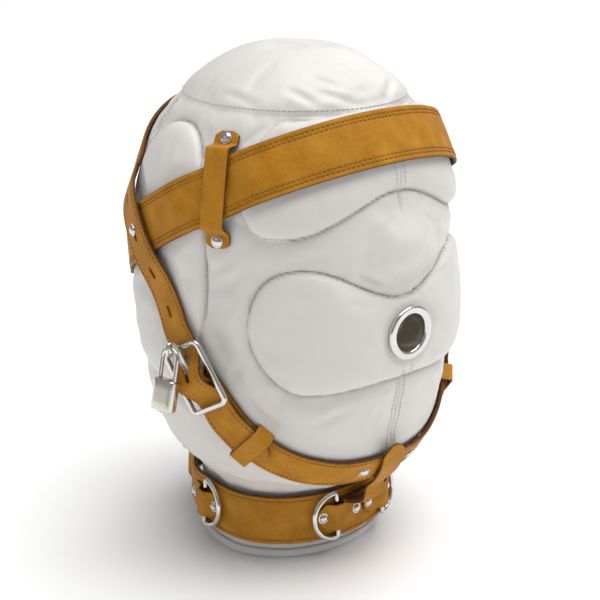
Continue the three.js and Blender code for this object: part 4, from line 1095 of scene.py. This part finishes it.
def cushion(name, point, nu, nv, how):
    """A foam pad: full in the middle and rounded at its edge."""
    u, v = np.meshgrid(np.linspace(0, 1, nu), np.linspace(0, 1, nv), indexing="ij")
    rim = np.minimum(1, np.minimum(np.minimum(u, 1 - u) * 8, np.minimum(v, 1 - v) * 8))
    full = np.sqrt(np.clip(1 - (1 - rim) ** 2, 0, 1))
    middle = 9.9
    skins = [point(u, v, middle - k * (3.6 * full + 0.05)) for k in (1, -1)]
    pts = np.concatenate([s.reshape(-1, 3) for s in skins])
    count = nu * nv
    faces = grid_faces(nu, nv) + [q[::-1] for q in grid_faces(nu, nv, count)]
    rim_loop = ([i * nv for i in range(nu)] + [(nu - 1) * nv + j for j in range(1, nv)]
                + [i * nv + nv - 1 for i in range(nu - 2, -1, -1)] + list(range(nv - 2, 0, -1)))
    faces += [[a, b, b + count, a + count] for a, b in zip(rim_loop, rim_loop[1:] + rim_loop[:1])]
    piece(name, how(pts), faces, FOAM, nodes=(name,))


def foams():
    def wing_point(pad, u, v, depth):
        a = lerp(0.8, pad["end"] - 6, u)
        level, half = wing(pad, a)
        p = surface(a, level + (half - 4) * (2 * v - 1), -depth)
        if pad is CHEEK:  # the foam stops round the mouth port
            dx, dz = p[..., 0], p[..., 2] - MOUTH
            far = np.maximum(np.hypot(dx, dz), 0.01)
            wide = np.sqrt(far ** 2 + 16.5 ** 2 * np.maximum(0, 1 - far / 40) ** 2) / far
            p = np.stack([dx * wide, p[..., 1], MOUTH + dz * wide], -1)
        return p

    def ear_point(u, v, depth):
        t = 2 * u - 1
        reach = (1 - np.abs(t) ** EAR["n"] * 0.8) ** (1 / EAR["n"])
        return surface(EAR["angle"] + (EAR["half_angle"] - 3) * (2 * v - 1) * reach,
                       EAR["level"] + (EAR["half"] - 4) * t, -depth)
    for how, tag in SIDES:
        cushion(f"eye_foam_{tag}", lambda u, v, d: wing_point(EYE, u, v, d), 24, 20, how)
        cushion(f"cheek_foam_{tag}", lambda u, v, d: wing_point(CHEEK, u, v, d), 24, 20, how)
        cushion(f"ear_foam_{tag}", ear_point, 30, 18, how)


crown()
hem()
lining()
foams()


# Sewing on the hood: each line is drawn in degrees and mm up, then laid on the finished skin.
def sewn(build, a, z, offset=0.12, **more):
    p, n = skin_at(a, z, offset)
    return stitches(build, p, n, **more)


def hood_sewing():
    b = Build()
    # outlines of the pads, found as the level lines of their own fields
    for side in (1, -1):
        for pad in (EYE, CHEEK):
            a = np.linspace(3.5, pad["end"] - 0.6, 160)
            level, half = wing(pad, a)
            for s in (1, -1):
                z = level + s * half
                keep = z < CROWN_SEAM - 3
                sewn(b, side * a[keep], z[keep])
        t = np.linspace(0, 2 * math.pi, 300)
        c, s = (squared(v, 2 / EAR["n"]) for v in (np.cos(t), np.sin(t)))
        sewn(b, side * (EAR["angle"] + EAR["half_angle"] * c), EAR["level"] + EAR["half"] * s)
    # two rows beside the seam down the face, clear of the port
    for side in (1, -1):
        for z0, z1 in ((62, MOUTH - 21), (262, CROWN_SEAM - 2)):
            z = np.linspace(z0, z1, 70)
            reach = np.abs(plain(np.zeros(70), z)[:, 1])
            sewn(b, side * np.degrees(3.2 / reach), z)
    # a row each side of the rear seams and of the crown seam
    for side in (1, -1):
        z = np.linspace(60, CROWN_SEAM - 2, 160)
        for step in (-2.0, 2.0):
            sewn(b, side * (BACK_SEAM + step), z)
    a = np.linspace(0, 360, 400)
    sewn(b, a, np.full(400, CROWN_SEAM + 2.2), radius=0.26)
    sewn(b, a, np.full(400, 10.5))
    sewn(b, a, np.full(400, 13.5))
    b.make("hood_stitching", WHITE_THREAD, "hood_leather")


hood_sewing()


# ------------------------------------------------------------------ mouth port
def port():
    """The flanged tube in the mouth port, and the washer that holds it behind the lining."""
    face = -surface(0, MOUTH, 0)[1]
    centre, out = np.array([0, -face, MOUTH]), np.array([0, -1.0, 0])
    end = -(LINING_DEPTH + LINING_PLY + WASHER_PLY)
    bore, barrel, flange, depth = PORT["bore"], PORT["barrel"], PORT["flange"], PORT["depth"]
    t = np.linspace(0, math.pi / 2, 8)
    outer = [(flange - 1.5 + 1.5 * math.cos(x), depth - 1.5 + 1.5 * math.sin(x)) for x in t]
    inner = [(bore + 2.0 - 2.0 * math.sin(x), depth - 2.0 + 2.0 * math.cos(x)) for x in t]
    profile = [(barrel, end), (barrel, -0.4), (flange - 0.6, -0.4), (flange, 0.2)] + outer + inner
    profile += [(bore, 0), (bore, end)]
    Build().loft(lathe_rings(profile, centre, out, 96), loop=True).make(
        "mouth_grommet", NICKEL, "nickel", nodes=("mouth_grommet",), sharp=50)
    washer = [(barrel + 0.3, end), (flange - 1, end), (flange - 0.6, end + 0.5),
              (flange - 1.4, end + WASHER_PLY), (barrel + 0.3, end + WASHER_PLY)]
    Build().loft(lathe_rings(washer, centre, out, 72), loop=True).make(
        "mouth_washer", NICKEL, "nickel", nodes=("mouth_washer",), sharp=40)


port()


# ------------------------------------------------------------------ straps
def stadium(frame, x0, x1, half, z0, z1):
    """A slot-shaped cutter in a strap's frame."""
    t = np.linspace(-math.pi / 2, math.pi / 2, 9)
    end = min(half, (x1 - x0) / 2)
    ring = [(x1 - end + end * math.cos(k), half * math.sin(k)) for k in t]
    ring += [(x0 + end - end * math.cos(k), -half * math.sin(k)) for k in t]
    x, y = np.array(ring).T
    return np.stack([frame.at(x, y, z) for z in (z0, z1)])


def cut(obj, cutters, edge=1.0):
    """Takes cutters, each a pair of rings, out of a strap."""
    b = Build()
    for c in cutters:
        b.loft(c, edge=edge)
    m = bpy.data.meshes.new("cutter")
    m.from_pydata(((np.concatenate(b.points) + SHIFT) / 1000).tolist(), [], b.faces)
    outward(m)
    layer = m.attributes.new("edge", "FLOAT", "POINT")
    layer.data.foreach_set("value", np.full(len(m.vertices), edge, np.float32))
    tool = put("cutter", m)
    mod = obj.modifiers.new("cut", "BOOLEAN")
    mod.operation, mod.solver, mod.object = "DIFFERENCE", "EXACT", tool
    done = bpy.data.meshes.new_from_object(obj.evaluated_get(bpy.context.evaluated_depsgraph_get()))
    obj.modifiers.clear()
    obj.data = done
    bpy.data.objects.remove(tool)
    done.polygons.foreach_set("use_smooth", [True] * len(done.polygons))
    done.set_sharp_from_angle(angle=math.radians(38))


def tan_piece(name, build, nodes=(), how=as_is, wear=None):
    """A piece of strap leather, with its dark edges and its worn places."""
    p = np.concatenate(build.points)
    if wear is None:
        wear = 0.5 * (0.5 + 0.5 * hash_noise(p, 16, 5.0)) ** 3
    attrs = {"edge": np.concatenate(build.edge), "wear": np.broadcast_to(wear, len(p))}
    return piece(name, how(p), build.faces, TAN, nodes=nodes, attrs=attrs, sharp=60)


def strap(name, rings, edge, nodes=(), how=as_is, slots=()):
    obj = tan_piece(name, Build().loft(rings, edge=edge), nodes, how)
    if slots:
        cut(obj, slots)


def sew_strap(build, frames, inner, ply, width, inset, keep, how, **more):
    """A row of stitches along each edge of a strap, where keep is true."""
    n = len(frames.o)
    for side in (1, -1):
        y = side * (np.broadcast_to(width, n) / 2 - inset)
        p = frames.at(0, y, np.broadcast_to(inner, n) + ply + 0.02)[keep]
        stitches(build, how(p), way_out(how, p, frames.z[keep]), **more)


def jaw_side(s):
    """Along the jaw strap: how far past the buckle, how far below its level, and the frames."""
    f = jaw.frame(s)
    return BUCKLE_AT - s, drop_at(jaw_frame, f.o), f


def fold_tube(build, frame):
    """Leather turned over the buckle's centre bar, open in the middle for the prong."""
    outer, inner = BUCKLE["fold"] - 0.1, BUCKLE["bore"]
    gap, reach = 3.1, STRAP / 2
    c, s = circle(30)
    for a, b in ((-reach, -gap), (gap, reach)):
        rows, edge = [], []
        section = ((inner, a + 0.3, 1), (inner, b - 0.3, 1), (inner + 0.4, b, 1), (outer - 0.6, b, 1),
                   (outer, b - 0.6, 0.3), (outer, a + 0.6, 0.3), (outer - 0.6, a, 1), (inner + 0.4, a, 1))
        for r, y, e in section:
            rows.append(frame.at(r * c, y, BUCKLE["height"] + r * s))
            edge.append(np.full(30, e))
        build.loft(np.array(rows), loop=True, edge=np.array(edge))
    return build


def harness():
    s = np.linspace(BUCKLE_AT - TAIL_END, jaw.length - 0.02, 340)
    x, drop, f = jaw_side(s)
    over = BAND_STEP * np.exp(-(((s - CROSSING) / 34) ** 4))
    inner = tail_inner(x, drop, LIFT + over)
    width = tip(x, TAIL_END)
    rings, edge = strap_rings(f, inner, TAIL_PLY, width, grooves=(SEAM_INSET,), wave=0.10)
    slots = [stadium(jaw.frame(BUCKLE_AT + 17 + 26 * k), -4.2, 4.2, 1.5, 0.5, 16) for k in range(1, 5)]
    slots.append(stadium(jaw_frame, *PRONG_SLOT))
    for how, tag in SIDES:
        strap(f"harness_strap_{tag}", rings, edge, ("harness_strap",), how, [how(c) for c in slots])
        b = Build()
        for start, stop in ((-999, -24), (-16, 16), (24, TAIL_END - 9)):  # clear of the buckle's ends
            keep = (x > start) & (x < stop)
            sew_strap(b, f, inner, TAIL_PLY, width, SEAM_INSET, keep, how, **STRAP_THREAD)
        b.make(f"harness_stitching_{tag}", TAN_THREAD, "strap_leather")


def chin():
    s = np.linspace(0, BUCKLE_AT, 240)
    x, _, f = jaw_side(s)
    inner = base_inner(x)
    right, edge = strap_rings(f, inner, PLY, STRAP, grooves=(SEAM_INSET,), wave=0.10)
    rings = np.concatenate([right[::-1], mirrored(right)[1:]])
    b = Build().loft(rings, edge=np.concatenate([edge[::-1], edge[1:]]))
    fold_tube(b, jaw_frame)
    left = Build()
    fold_tube(left, jaw_frame)
    b.raw(mirrored(np.concatenate(left.points)), left.faces, 0.5)
    tan_piece("chin_strap", b, ("chin_strap",))
    t = Build()
    for how, _ in SIDES:
        sew_strap(t, f, inner, PLY, STRAP, SEAM_INSET, x > 12, how, **STRAP_THREAD)
    t.make("chin_stitching", TAN_THREAD, "strap_leather")


def loop_strap(name, path, start, back, frame, wide, ply, lift, tail, lines, how=as_is):
    """A band right round the hood, from its fold at the rear buckle back through it to the tail."""
    s = np.linspace(start, back + tail, 620)
    f = path.frame(s)
    from_buckle = np.minimum(s - start, np.abs(back - s))
    rest = lerp(LIFT, lift, smooth((from_buckle - 62) / 30))
    base = rest + np.where(s - start < 15, base_inner(s - start) - LIFT, 0)
    far = tail_inner(s - back, drop_at(frame, f.o), rest)
    inner = np.where(s - start < back - s, base, far)
    plies = lerp(ply, TAIL_PLY, smooth((s - (back - 60)) / 20))
    taper = lerp(STRAP, wide, smooth((from_buckle - 62) / 30))
    width = np.where(s > back - 24, tip(s - back, tail), taper)
    rings, edge = strap_rings(f, inner, plies, width, grooves=lines, across=44, camber=0.35, wave=0.14)
    strap(name, rings, edge, (name,), how, [how(stadium(frame, *PRONG_SLOT))])
    fold_tube(Build(), frame).make(f"{name}_fold", TAN, "strap_leather", how=how)
    t = Build()
    middle = (s - start > 10) & (s < back + tail - 10)
    for inset in lines:
        sew_strap(t, f, inner, plies, width, inset, middle, how, length=2.3, radius=0.3)
    t.make(f"{name}_stitching", TAN_THREAD, "strap_leather")


def temple_keepers():
    s = np.linspace(0, temple.length, 90)
    f = temple.frame(s)
    drop = drop_at(temple_frame, f.o)
    end = np.minimum(s, temple.length - s)
    inner = lerp(0.6, 6.6 + drop, smooth((end - 7.5) / 5.5))
    width = (16 + np.exp(-(((end - 5) / 9) ** 2))) * np.sqrt(np.clip(0.3 + end / 3.5, 0, 1))
    rings, edge = strap_rings(f, inner, 1.9, width, camber=0.2)
    for how, tag in SIDES:
        strap(f"temple_keeper_{tag}", rings, edge, (f"temple_keeper_{tag}",), how)
        for place, k in (("upper", 4.2), ("lower", temple.length - 4.2)):
            g = temple.frame(k)
            top = float(np.interp(k, s, inner)) + 2.2
            name = f"temple_rivet_{place}_{tag}"
            rivet(name, g, top, -3.7, (name,), how)


def rivet(name, f, top, bottom, nodes=(), how=as_is, head=4.0):
    """A domed rivet through the leather, with its washer behind."""
    t = np.linspace(0, math.pi / 2, 10)
    dome = [(max(0.02, (head - 0.7) * math.sin(k)), top + 0.45 + 1.75 * math.cos(k)) for k in t]
    profile = dome + [(head, top + 0.4), (head, top + 0.05), (head - 0.3, top - 0.1), (1.4, top - 0.1),
                      (1.4, bottom - 0.3), (2.4, bottom - 0.3), (2.4, bottom - 1.1), (0.02, bottom - 1.1)]
    b = Build().loft(lathe_rings(profile, f.o, f.z, 32))
    b.make(name, NICKEL, "nickel", nodes=nodes, how=how, sharp=45)


def collar_piece():
    loop_strap("collar", collar, COLLAR_START, COLLAR_BACK, collar_frame, COLLAR_HEIGHT, COLLAR_PLY,
               COLLAR_LIFT, TAIL_END - 6, (2.8,), turned)
    a, b = (collar.at(lambda t, z, k=k: t >= k) for k in (270, 450))
    s = np.linspace(a, b, 160)
    rings, edge = strap_rings(collar.frame(s), COLLAR_LIFT - 2.6, 2.2, COLLAR_HEIGHT - 14)
    strap("collar_lining", rings, np.full(edge.shape, 0.85), ("collar_lining",), turned)


def tab():
    s = np.linspace(0, tab_path.length, 120)
    f = tab_path.frame(s)
    z = f.o[:, 2]
    away = COLLAR_STAND + COLLAR_LIFT + 0.1 + 8 * np.exp(-(((z - 57) / 9) ** 2))
    inner = lerp(away, LIFT + PLY + 1.7, smooth((z - 58) / 7))
    ply = lerp(COLLAR_PLY - 0.2, 2, smooth((s - 12) / 20))
    t = s / tab_path.length
    waist = lerp(24, 18, smooth(t / 0.4)) - 3 * np.exp(-(((t - 0.45) / 0.12) ** 2))
    width = waist * np.sqrt(np.clip(0.12 + (tab_path.length - s) / 7, 0, 1))
    flare = 9 * np.exp(-((s / 7) ** 2))
    rings, edge = strap_rings(f, inner, ply, width + flare)
    strap("collar_tab", rings, edge)


harness()
chin()
loop_strap("forehead_band", band, BAND_START, BAND_BACK, band_frame, BAND, PLY,
           BAND_LIFT, TAIL_END, (3.2, 5.4))
temple_keepers()
collar_piece()
tab()
crossing = jaw.frame(CROSSING)
for how, tag in SIDES:
    head_level = LIFT + BAND_STEP + TAIL_PLY + 0.25
    rivet(f"harness_rivet_{tag}", crossing, head_level, -3.5, (f"harness_rivet_{tag}",), how)
for angle, how, tag in ((14, mirrored, "left"), (11, as_is, "right")):
    g = jaw.frame(jaw.at(lambda a, z: a >= angle))
    rivet(f"chin_rivet_{tag}", g, LIFT + PLY + 0.25, -4, (f"chin_rivet_{tag}",), how)


# ------------------------------------------------------------------ buckles, prongs and keepers
def rounded_rectangle(hx, hy, r, per=10):
    """Points round a rectangle of half sizes hx and hy, its sides cut into steps of about 2.5 mm."""
    out = []
    corners = ((hx - r, hy - r, 0), (-hx + r, hy - r, 90), (-hx + r, -hy + r, 180), (hx - r, -hy + r, 270))
    for cx, cy, start in corners:
        for k in np.linspace(0, 90, per):
            t = math.radians(start + k)
            out.append((cx + r * math.cos(t), cy + r * math.sin(t)))
    p = np.array(out)
    full = []
    for a, b in zip(p, np.roll(p, -1, 0)):
        steps = max(1, int(np.linalg.norm(b - a) // 2.5))
        full += [a + (b - a) * k / steps for k in range(steps)]
    return np.array(full)


def nickel(build, name, how=as_is, sharp=60, material=NICKEL):
    """A metal piece that moves as its own body."""
    build.make(name, material, "nickel", name, (name,), how, sharp)


def buckle_frame(name, frame, how):
    """A bent wire frame with its centre bar."""
    hl, hw, bar, h = (BUCKLE[k] for k in ("half_length", "half_width", "bar", "height"))
    line = frame.at(*rounded_rectangle(hl, hw, 3.6).T, h)
    b = Build().loft(ring_rings(line, bar / 2, 18, frame.z, 0.92, 2.6), loop=True)
    b.loft(tube_rings(frame.at(0, np.linspace(-hw, hw, 12), h), HALF_BAR, 16, frame.z))
    nickel(b, f"{name}_buckle", how)


def prong(name, frame, ring_turn, how):
    """A hub round the centre bar, a flat tongue, and an eye that takes a lock."""
    b = Build()
    c, s = circle(28)
    hub = []
    for r, k in ((2.7, -1), (4.4, -1), (4.7, -0.75), (4.7, 0.75), (4.4, 1), (2.7, 1)):
        hub.append(frame.at(r * c, k * PRONG["width"] / 2, BUCKLE["height"] + r * s))
    b.loft(np.array(hub), loop=True)
    reach, half_thick = PRONG["reach"], PRONG["thick"] / 2
    x = np.concatenate([np.linspace(-reach, -reach + 1.5, 6), np.linspace(-reach + 2, -2.8, 16)])
    round_end = np.clip(1 - ((x + reach - 1.5) / 1.5) ** 2, 0.1, 1)
    half = PRONG["width"] / 2 * np.sqrt(np.where(x < -reach + 1.5, round_end, 1))
    c, s = (squared(v, 0.5) for v in circle(20))
    middle = PRONG_LEVEL + half_thick
    b.loft(np.stack([frame.at(xi, hi * c, middle + half_thick * s) for xi, hi in zip(x, half)]))
    c, s = circle(40)
    r, cs, sn = PRONG["ring"], math.cos(ring_turn), math.sin(ring_turn)
    eye = frame.at(cs * (r * c) - reach + 1, sn * (r * c), r * s + EYE_CENTRE)
    b.loft(ring_rings(eye, PRONG["wire"], 14, unit(-sn * frame.x + cs * frame.y)), loop=True)
    nickel(b, f"{name}_prong", how, 50)


def buckle(name, frame, keeper_frame, ring_turn=0.0, how=as_is):
    buckle_frame(name, frame, how)
    prong(name, frame, ring_turn, how)
    keeper(f"{name}_keeper", keeper_frame, STRAP, how)


def keeper(name, f, width, how):
    """A leather loop that holds the tail down."""
    low, high = LIFT - 0.8, LIFT + PLY + TAIL_CLEAR + TAIL_PLY + 1.1
    half, wall = width / 2 + 0.7, 1.7
    line = rounded_rectangle(half + wall / 2, (high - low) / 2 + wall / 2 - 0.1, 1.5, 6)
    y, z = line[:, 0], line[:, 1] + (high + low) / 2 + 0.15
    prev, nxt = np.roll(line, 1, 0), np.roll(line, -1, 0)
    d = unit(nxt - prev)
    out = np.stack([d[:, 1], -d[:, 0]], -1)
    side, cy, sz, cz, edge = strap_profile(8)
    r, ply, wide = 0.6, wall, 12.5
    x = side * (wide / 2 - r) + cy * r
    w = sz * (ply / 2 - r) + cz * r
    rings = np.stack([f.at(x, yi + w * o[0], zi + w * o[1]) for yi, zi, o in zip(y, z, out)])
    tan_piece(name, Build().loft(rings, loop=True, edge=edge), (name,), how, 0.15)


level = unit(np.cross([0, 0, 1.0], jaw_frame.z))
ring_turn = math.atan2(-level @ jaw_frame.x, level @ jaw_frame.y)
jaw_keeper = jaw.frame(BUCKLE_AT - JAW_KEEPER_AT, -1)
buckle("jaw_right", jaw_frame, jaw_keeper, ring_turn)
buckle("jaw_left", jaw_frame, jaw_keeper, ring_turn, mirrored)
buckle("forehead", band_frame, band.frame(BAND_BACK + KEEPER_AT))
buckle("collar", collar_frame, collar.frame(COLLAR_BACK + KEEPER_AT), 0.0, turned)


# ------------------------------------------------------------------ D-rings and their patches
COLLAR_TOP = COLLAR_LIFT + COLLAR_PLY
BAR = COLLAR_TOP + 0.5 + DRING["wire"]


def d_ring(name, angle, turn):
    """A ring on its straight bar, under a riveted patch that points round the collar."""
    s0 = collar.at(lambda a, z: a >= 360 + angle)
    f = collar.frame(s0, turn)
    wire, half = DRING["wire"], DRING["height"] / 2 - DRING["wire"]
    reach = (DRING["depth"] - 2 * wire) * 1.45
    t = np.linspace(0, 1, 60)
    across = (1 - t) ** 3 + 3 * t * (1 - t) ** 2 - 3 * t ** 2 * (1 - t) - t ** 3
    arc = np.stack([3 * t * (1 - t) * reach, half * across], -1)
    straight = np.stack([np.zeros(24), np.linspace(-half, half, 24)], -1)
    line = np.concatenate([straight[1:-1], arc])
    for _ in range(3):
        line = (np.roll(line, 1, 0) + 2 * line + np.roll(line, -1, 0)) / 4
    nickel(Build().loft(ring_rings(f.at(*line.T, BAR), wire, 16, f.z), loop=True), f"d_ring_{name}", turned)
    start, stop = (s0 - 19, s0 + 13) if turn > 0 else (s0 - 13, s0 + 19)
    s = np.linspace(start, stop, 70)
    over = 2 * wire + 1
    inner = COLLAR_TOP + 0.5 + over * (1 - smooth((np.abs(s - s0) - wire) / 6))
    width = 19 * np.sqrt(np.clip(0.1 + np.minimum(s - start, stop - s) / 7, 0, 1))
    rings, edge = strap_rings(collar.frame(s), inner, 1.9, width, camber=0.15)
    strap(f"d_ring_patch_{name}", rings, edge, (f"d_ring_patch_{name}",), turned)
    for k, x in enumerate((-14.5 * turn, 9.4 * turn)):
        at = collar.frame(s0 + x)
        rivet(f"d_ring_rivet_{name}_{k + 1}", at, COLLAR_TOP + 2.3, COLLAR_LIFT, (), turned, 3.6)


d_ring("front_right", 22, 1)
d_ring("front_left", -22, -1)
d_ring("side_right", 106, -1)
d_ring("side_left", -106, 1)


# ------------------------------------------------------------------ padlock
def lock_frame():
    """x level, z up the hanging lock, from the middle of the prong's eye."""
    o = jaw_frame.at(-PRONG["reach"] + 1, 0, EYE_CENTRE)
    z = Vector((0, 0, 1))
    z.rotate(Matrix.Rotation(math.radians(-LOCK["tilt"]), 3, Vector(level)))
    z = np.array(z)
    return Frame(o, level, np.cross(z, level), z)


def shackle(f, top):
    g = LOCK["gauge"]
    legs = np.linspace(top + 3, -g - 0.5, 6)
    line = [(-g, top - LOCK["heel"]), (-g, top - 4), (-g, top + 2)] + [(-g, k) for k in legs]
    line += [(g * math.cos(k), -g + g * math.sin(k)) for k in np.linspace(math.pi, 0, 24)]
    line += [(g, k) for k in np.linspace(-g - 0.5, top + 3, 6)] + [(g, top + 2), (g, top - LOCK["toe"])]
    x, z = np.array(line).T
    nickel(Build().loft(tube_rings(f.at(x, 0, z), LOCK["wire"], 18, f.y)), "padlock_shackle")


def lock_body(f, top):
    """A block with rounded corners and rolled edges; every ring has the same number of points."""
    hx, hy, height = LOCK["width"] / 2, LOCK["thick"] / 2, LOCK["height"]
    corner, roll = 3.4, 1.3
    bend = [(roll * math.sin(k), roll * (1 - math.cos(k))) for k in np.linspace(0, math.pi / 2, 6)]
    levels = [(top - roll + rise, inset) for rise, inset in bend][::-1]
    levels += [(top - height * k, 0) for k in (0.3, 0.5, 0.7)]
    levels += [(top - height + roll - rise, inset) for rise, inset in bend]
    rings = []
    for z, inset in levels:
        line = rounded_rectangle(hx - inset, hy - inset, max(0.6, corner - inset))
        if rings and len(line) != len(rings[0]):
            line = rounded_rectangle(hx, hy, corner) * [(hx - inset) / hx, (hy - inset) / hy]
        rings.append(f.at(*line.T, z))
    nickel(Build().loft(np.array(rings)), "padlock_body", as_is, 50, LOCK_NICKEL)


def lock_plug(f, bottom):
    """The cylinder's face stands a little proud of the body, with a keyway across it."""
    c, s = circle(40)
    face = bottom - 0.6
    profile = [(3.5, bottom + 3), (3.5, bottom - 0.45), (3.35, face), (2.6, face)]
    rings = [f.at(r * c, r * s, z) for r, z in profile]
    keyway = (2.3 * c, 0.5 * np.clip(3 * s, -1, 1))
    rings += [f.at(*keyway, z) for z in (face, bottom + 2.5)]
    nickel(Build().loft(np.array(rings)), "padlock_plug", as_is, 40)


def padlock():
    f, top = lock_frame(), -LOCK["gauge"] - LOCK["drop"]
    shackle(f, top)
    lock_body(f, top)
    lock_plug(f, top - LOCK["height"])


padlock()


# ------------------------------------------------------------------ rear zipper
def zip_angle(z):
    return np.degrees(np.arcsin((np.asarray(z, float) - ZIP["z"]) / ZIP["radius"]))


def zip_frame(deg):
    a = np.radians(np.asarray(deg, float))
    zero = np.zeros(a.shape)
    out = np.stack([zero, np.cos(a), np.sin(a)], -1)
    o = np.array([0, ZIP["y"], ZIP["z"]]) + ZIP["radius"] * out
    x = np.broadcast_to([-1.0, 0, 0], out.shape)
    return Frame(o, x, np.stack([zero, -np.sin(a), np.cos(a)], -1), out)


def zip_tapes():
    """The two tapes, and the placket behind them."""
    f = zip_frame(np.linspace(zip_angle(ZIP["low"]), zip_angle(ZIP["high"]), 220))
    for side, tag in ((1, "right"), (-1, "left")):
        g = Frame(f.o + f.x * side * 2.6, f.y, f.x, f.z)
        rings, _ = strap_rings(g, -2.6, 1.8, 4.7, across=8, camber=0)
        name = f"zip_tape_{tag}"
        Build().loft(rings).make(name, TAPE, "zip_tape", nodes=(name,), sharp=60)
    f = zip_frame(np.linspace(zip_angle(ZIP["low"] + 2), zip_angle(ZIP["high"] + 2), 120))
    rings, edge = strap_rings(Frame(f.o, f.y, f.x, f.z), -7.2, 1.8, 24)
    strap("zip_placket", rings, edge, ("zip_placket",))


def zip_teeth():
    """Teeth in turn from the left and the right tape."""
    b = Build()
    pitch = math.degrees(1.55 / ZIP["radius"])
    first, last = (float(zip_angle(z)) for z in (ZIP["low"] + 1, ZIP["high"] - 2))
    c, s = circle(8, math.pi / 8)
    for k, deg in enumerate(np.arange(first, last, pitch)):
        h = zip_frame(deg)
        side = 1 if k % 2 else -1
        sections = ((-0.7, 0.35), (-0.5, 0.6), (1.4, 0.62), (2.2, 0.5), (2.4, 0.3))
        b.loft(np.array([h.at(side * x, 0.62 * c, -0.25 + w * s) for x, w in sections]))
    b.make("zip_teeth", NICKEL, "nickel", sharp=50)


def zip_slider(h):
    """A rounded plate with a lug that the pull hangs on."""
    b = Build()
    plate = rounded_rectangle(4.5, 7, 2.4)
    levels = ((0.93, 0.2), (1, 0.5), (1, 1.9), (0.9, 2.4))
    b.loft(np.array([h.at(*(plate * k).T, z) for k, z in levels]))
    c, s = circle(24)
    sections = ((-1.2, 1.3), (-1.2, 2.4), (-0.9, 2.6), (0.9, 2.6), (1.2, 2.4), (1.2, 1.3))
    b.loft(np.array([h.at(x, 1 + r * c, 4 + r * s) for x, r in sections]), loop=True)
    post = rounded_rectangle(1.1, 1.0, 0.4)
    b.loft(np.array([h.at(post[:, 0], post[:, 1] - 2.5, z) for z in (2.0, 4.0)]))
    nickel(b, "zip_slider", as_is, 45)


def zip_pull(h):
    """A flat tag with a slot at its upper end."""
    outer = rounded_rectangle(4, 13, 2.2)
    slot = outer * [0.5, 0.18]
    levels = ((0.95, 3.4), (1, 3.6), (1, 4.4), (0.95, 4.6))
    rows = [h.at(outer[:, 0] * k, outer[:, 1] * k - 11.05, z) for k, z in levels]
    rows += [h.at(slot[:, 0], slot[:, 1] - 1.25, z) for z in (4.6, 3.4)]
    nickel(Build().loft(np.array(rows), loop=True), "zip_pull", as_is, 45)


def zipper():
    zip_tapes()
    zip_teeth()
    at = zip_frame(zip_angle(ZIP["slider"]))
    zip_slider(at)
    zip_pull(at)


zipper()


# ------------------------------------------------------------------ floor, lights and camera
def aim(obj, target, distance, azimuth, elevation):
    """Puts a lamp or the camera on a bearing from the target, looking back at it."""
    a, e = math.radians(azimuth), math.radians(elevation)
    away = Vector((math.sin(a) * math.cos(e), -math.cos(a) * math.cos(e), math.sin(e)))
    obj.location = target + distance * away
    obj.rotation_euler = (target - obj.location).to_track_quat("-Z", "Y").to_euler()


def floor():
    bpy.ops.mesh.primitive_plane_add(size=6, location=(0, 0, 0))
    plane = bpy.context.object
    plane.name = "floor"
    plane.data.materials.append(Shade("studio_floor").set((0.95, 0.95, 0.95), 0.9, Specular_IOR_Level=0.1))


def area(name, size, energy, azimuth, elevation, distance):
    data = bpy.data.lights.new(name, "AREA")
    data.shape, data.size, data.energy = "DISK", size, energy
    aim(put(name, data), Vector((0, -0.02, 0.17)), distance, azimuth, elevation)


def lamps():
    area("key", 0.9, 2.1, 40, 45, 1.5)
    area("fill", 1.2, 1.0, -95, 30, 1.7)
    area("rim", 0.8, 2.5, 110, 35, 1.5)
    above = bpy.data.lights.new("above", "SUN")
    above.energy, above.angle = 2.7, math.radians(55)
    put("above", above).rotation_euler = (math.radians(6), math.radians(8), 0)


def sky():
    """White to the camera, and dimmer as light on the hood."""
    lighting, seen_by_camera = 0.28, 1.0
    world = bpy.data.worlds.new("studio")
    world.use_nodes = True
    tree = world.node_tree
    background = tree.nodes["Background"]
    background.inputs[0].default_value = (1, 1, 1, 1)
    seen = tree.nodes.new("ShaderNodeLightPath").outputs["Is Camera Ray"]
    glow = tree.nodes.new("ShaderNodeMapRange")
    glow.inputs["To Min"].default_value, glow.inputs["To Max"].default_value = lighting, seen_by_camera
    tree.links.new(seen, glow.inputs["Value"])
    tree.links.new(glow.outputs[0], background.inputs[1])
    bpy.context.scene.world = world


def camera():
    data = bpy.data.cameras.new("camera")
    data.sensor_width, data.lens = 36, 36 * 1241 / 600
    data.shift_x, data.shift_y = 3 / 600, 6 / 600
    cam = put("camera", data)
    aim(cam, Vector((*(SHIFT[:2] / 1000), 0.162)), 0.85, -39, 20)
    bpy.context.scene.camera = cam


floor()
lamps()
sky()
camera()
bpy.context.scene.view_settings.view_transform = "Standard"
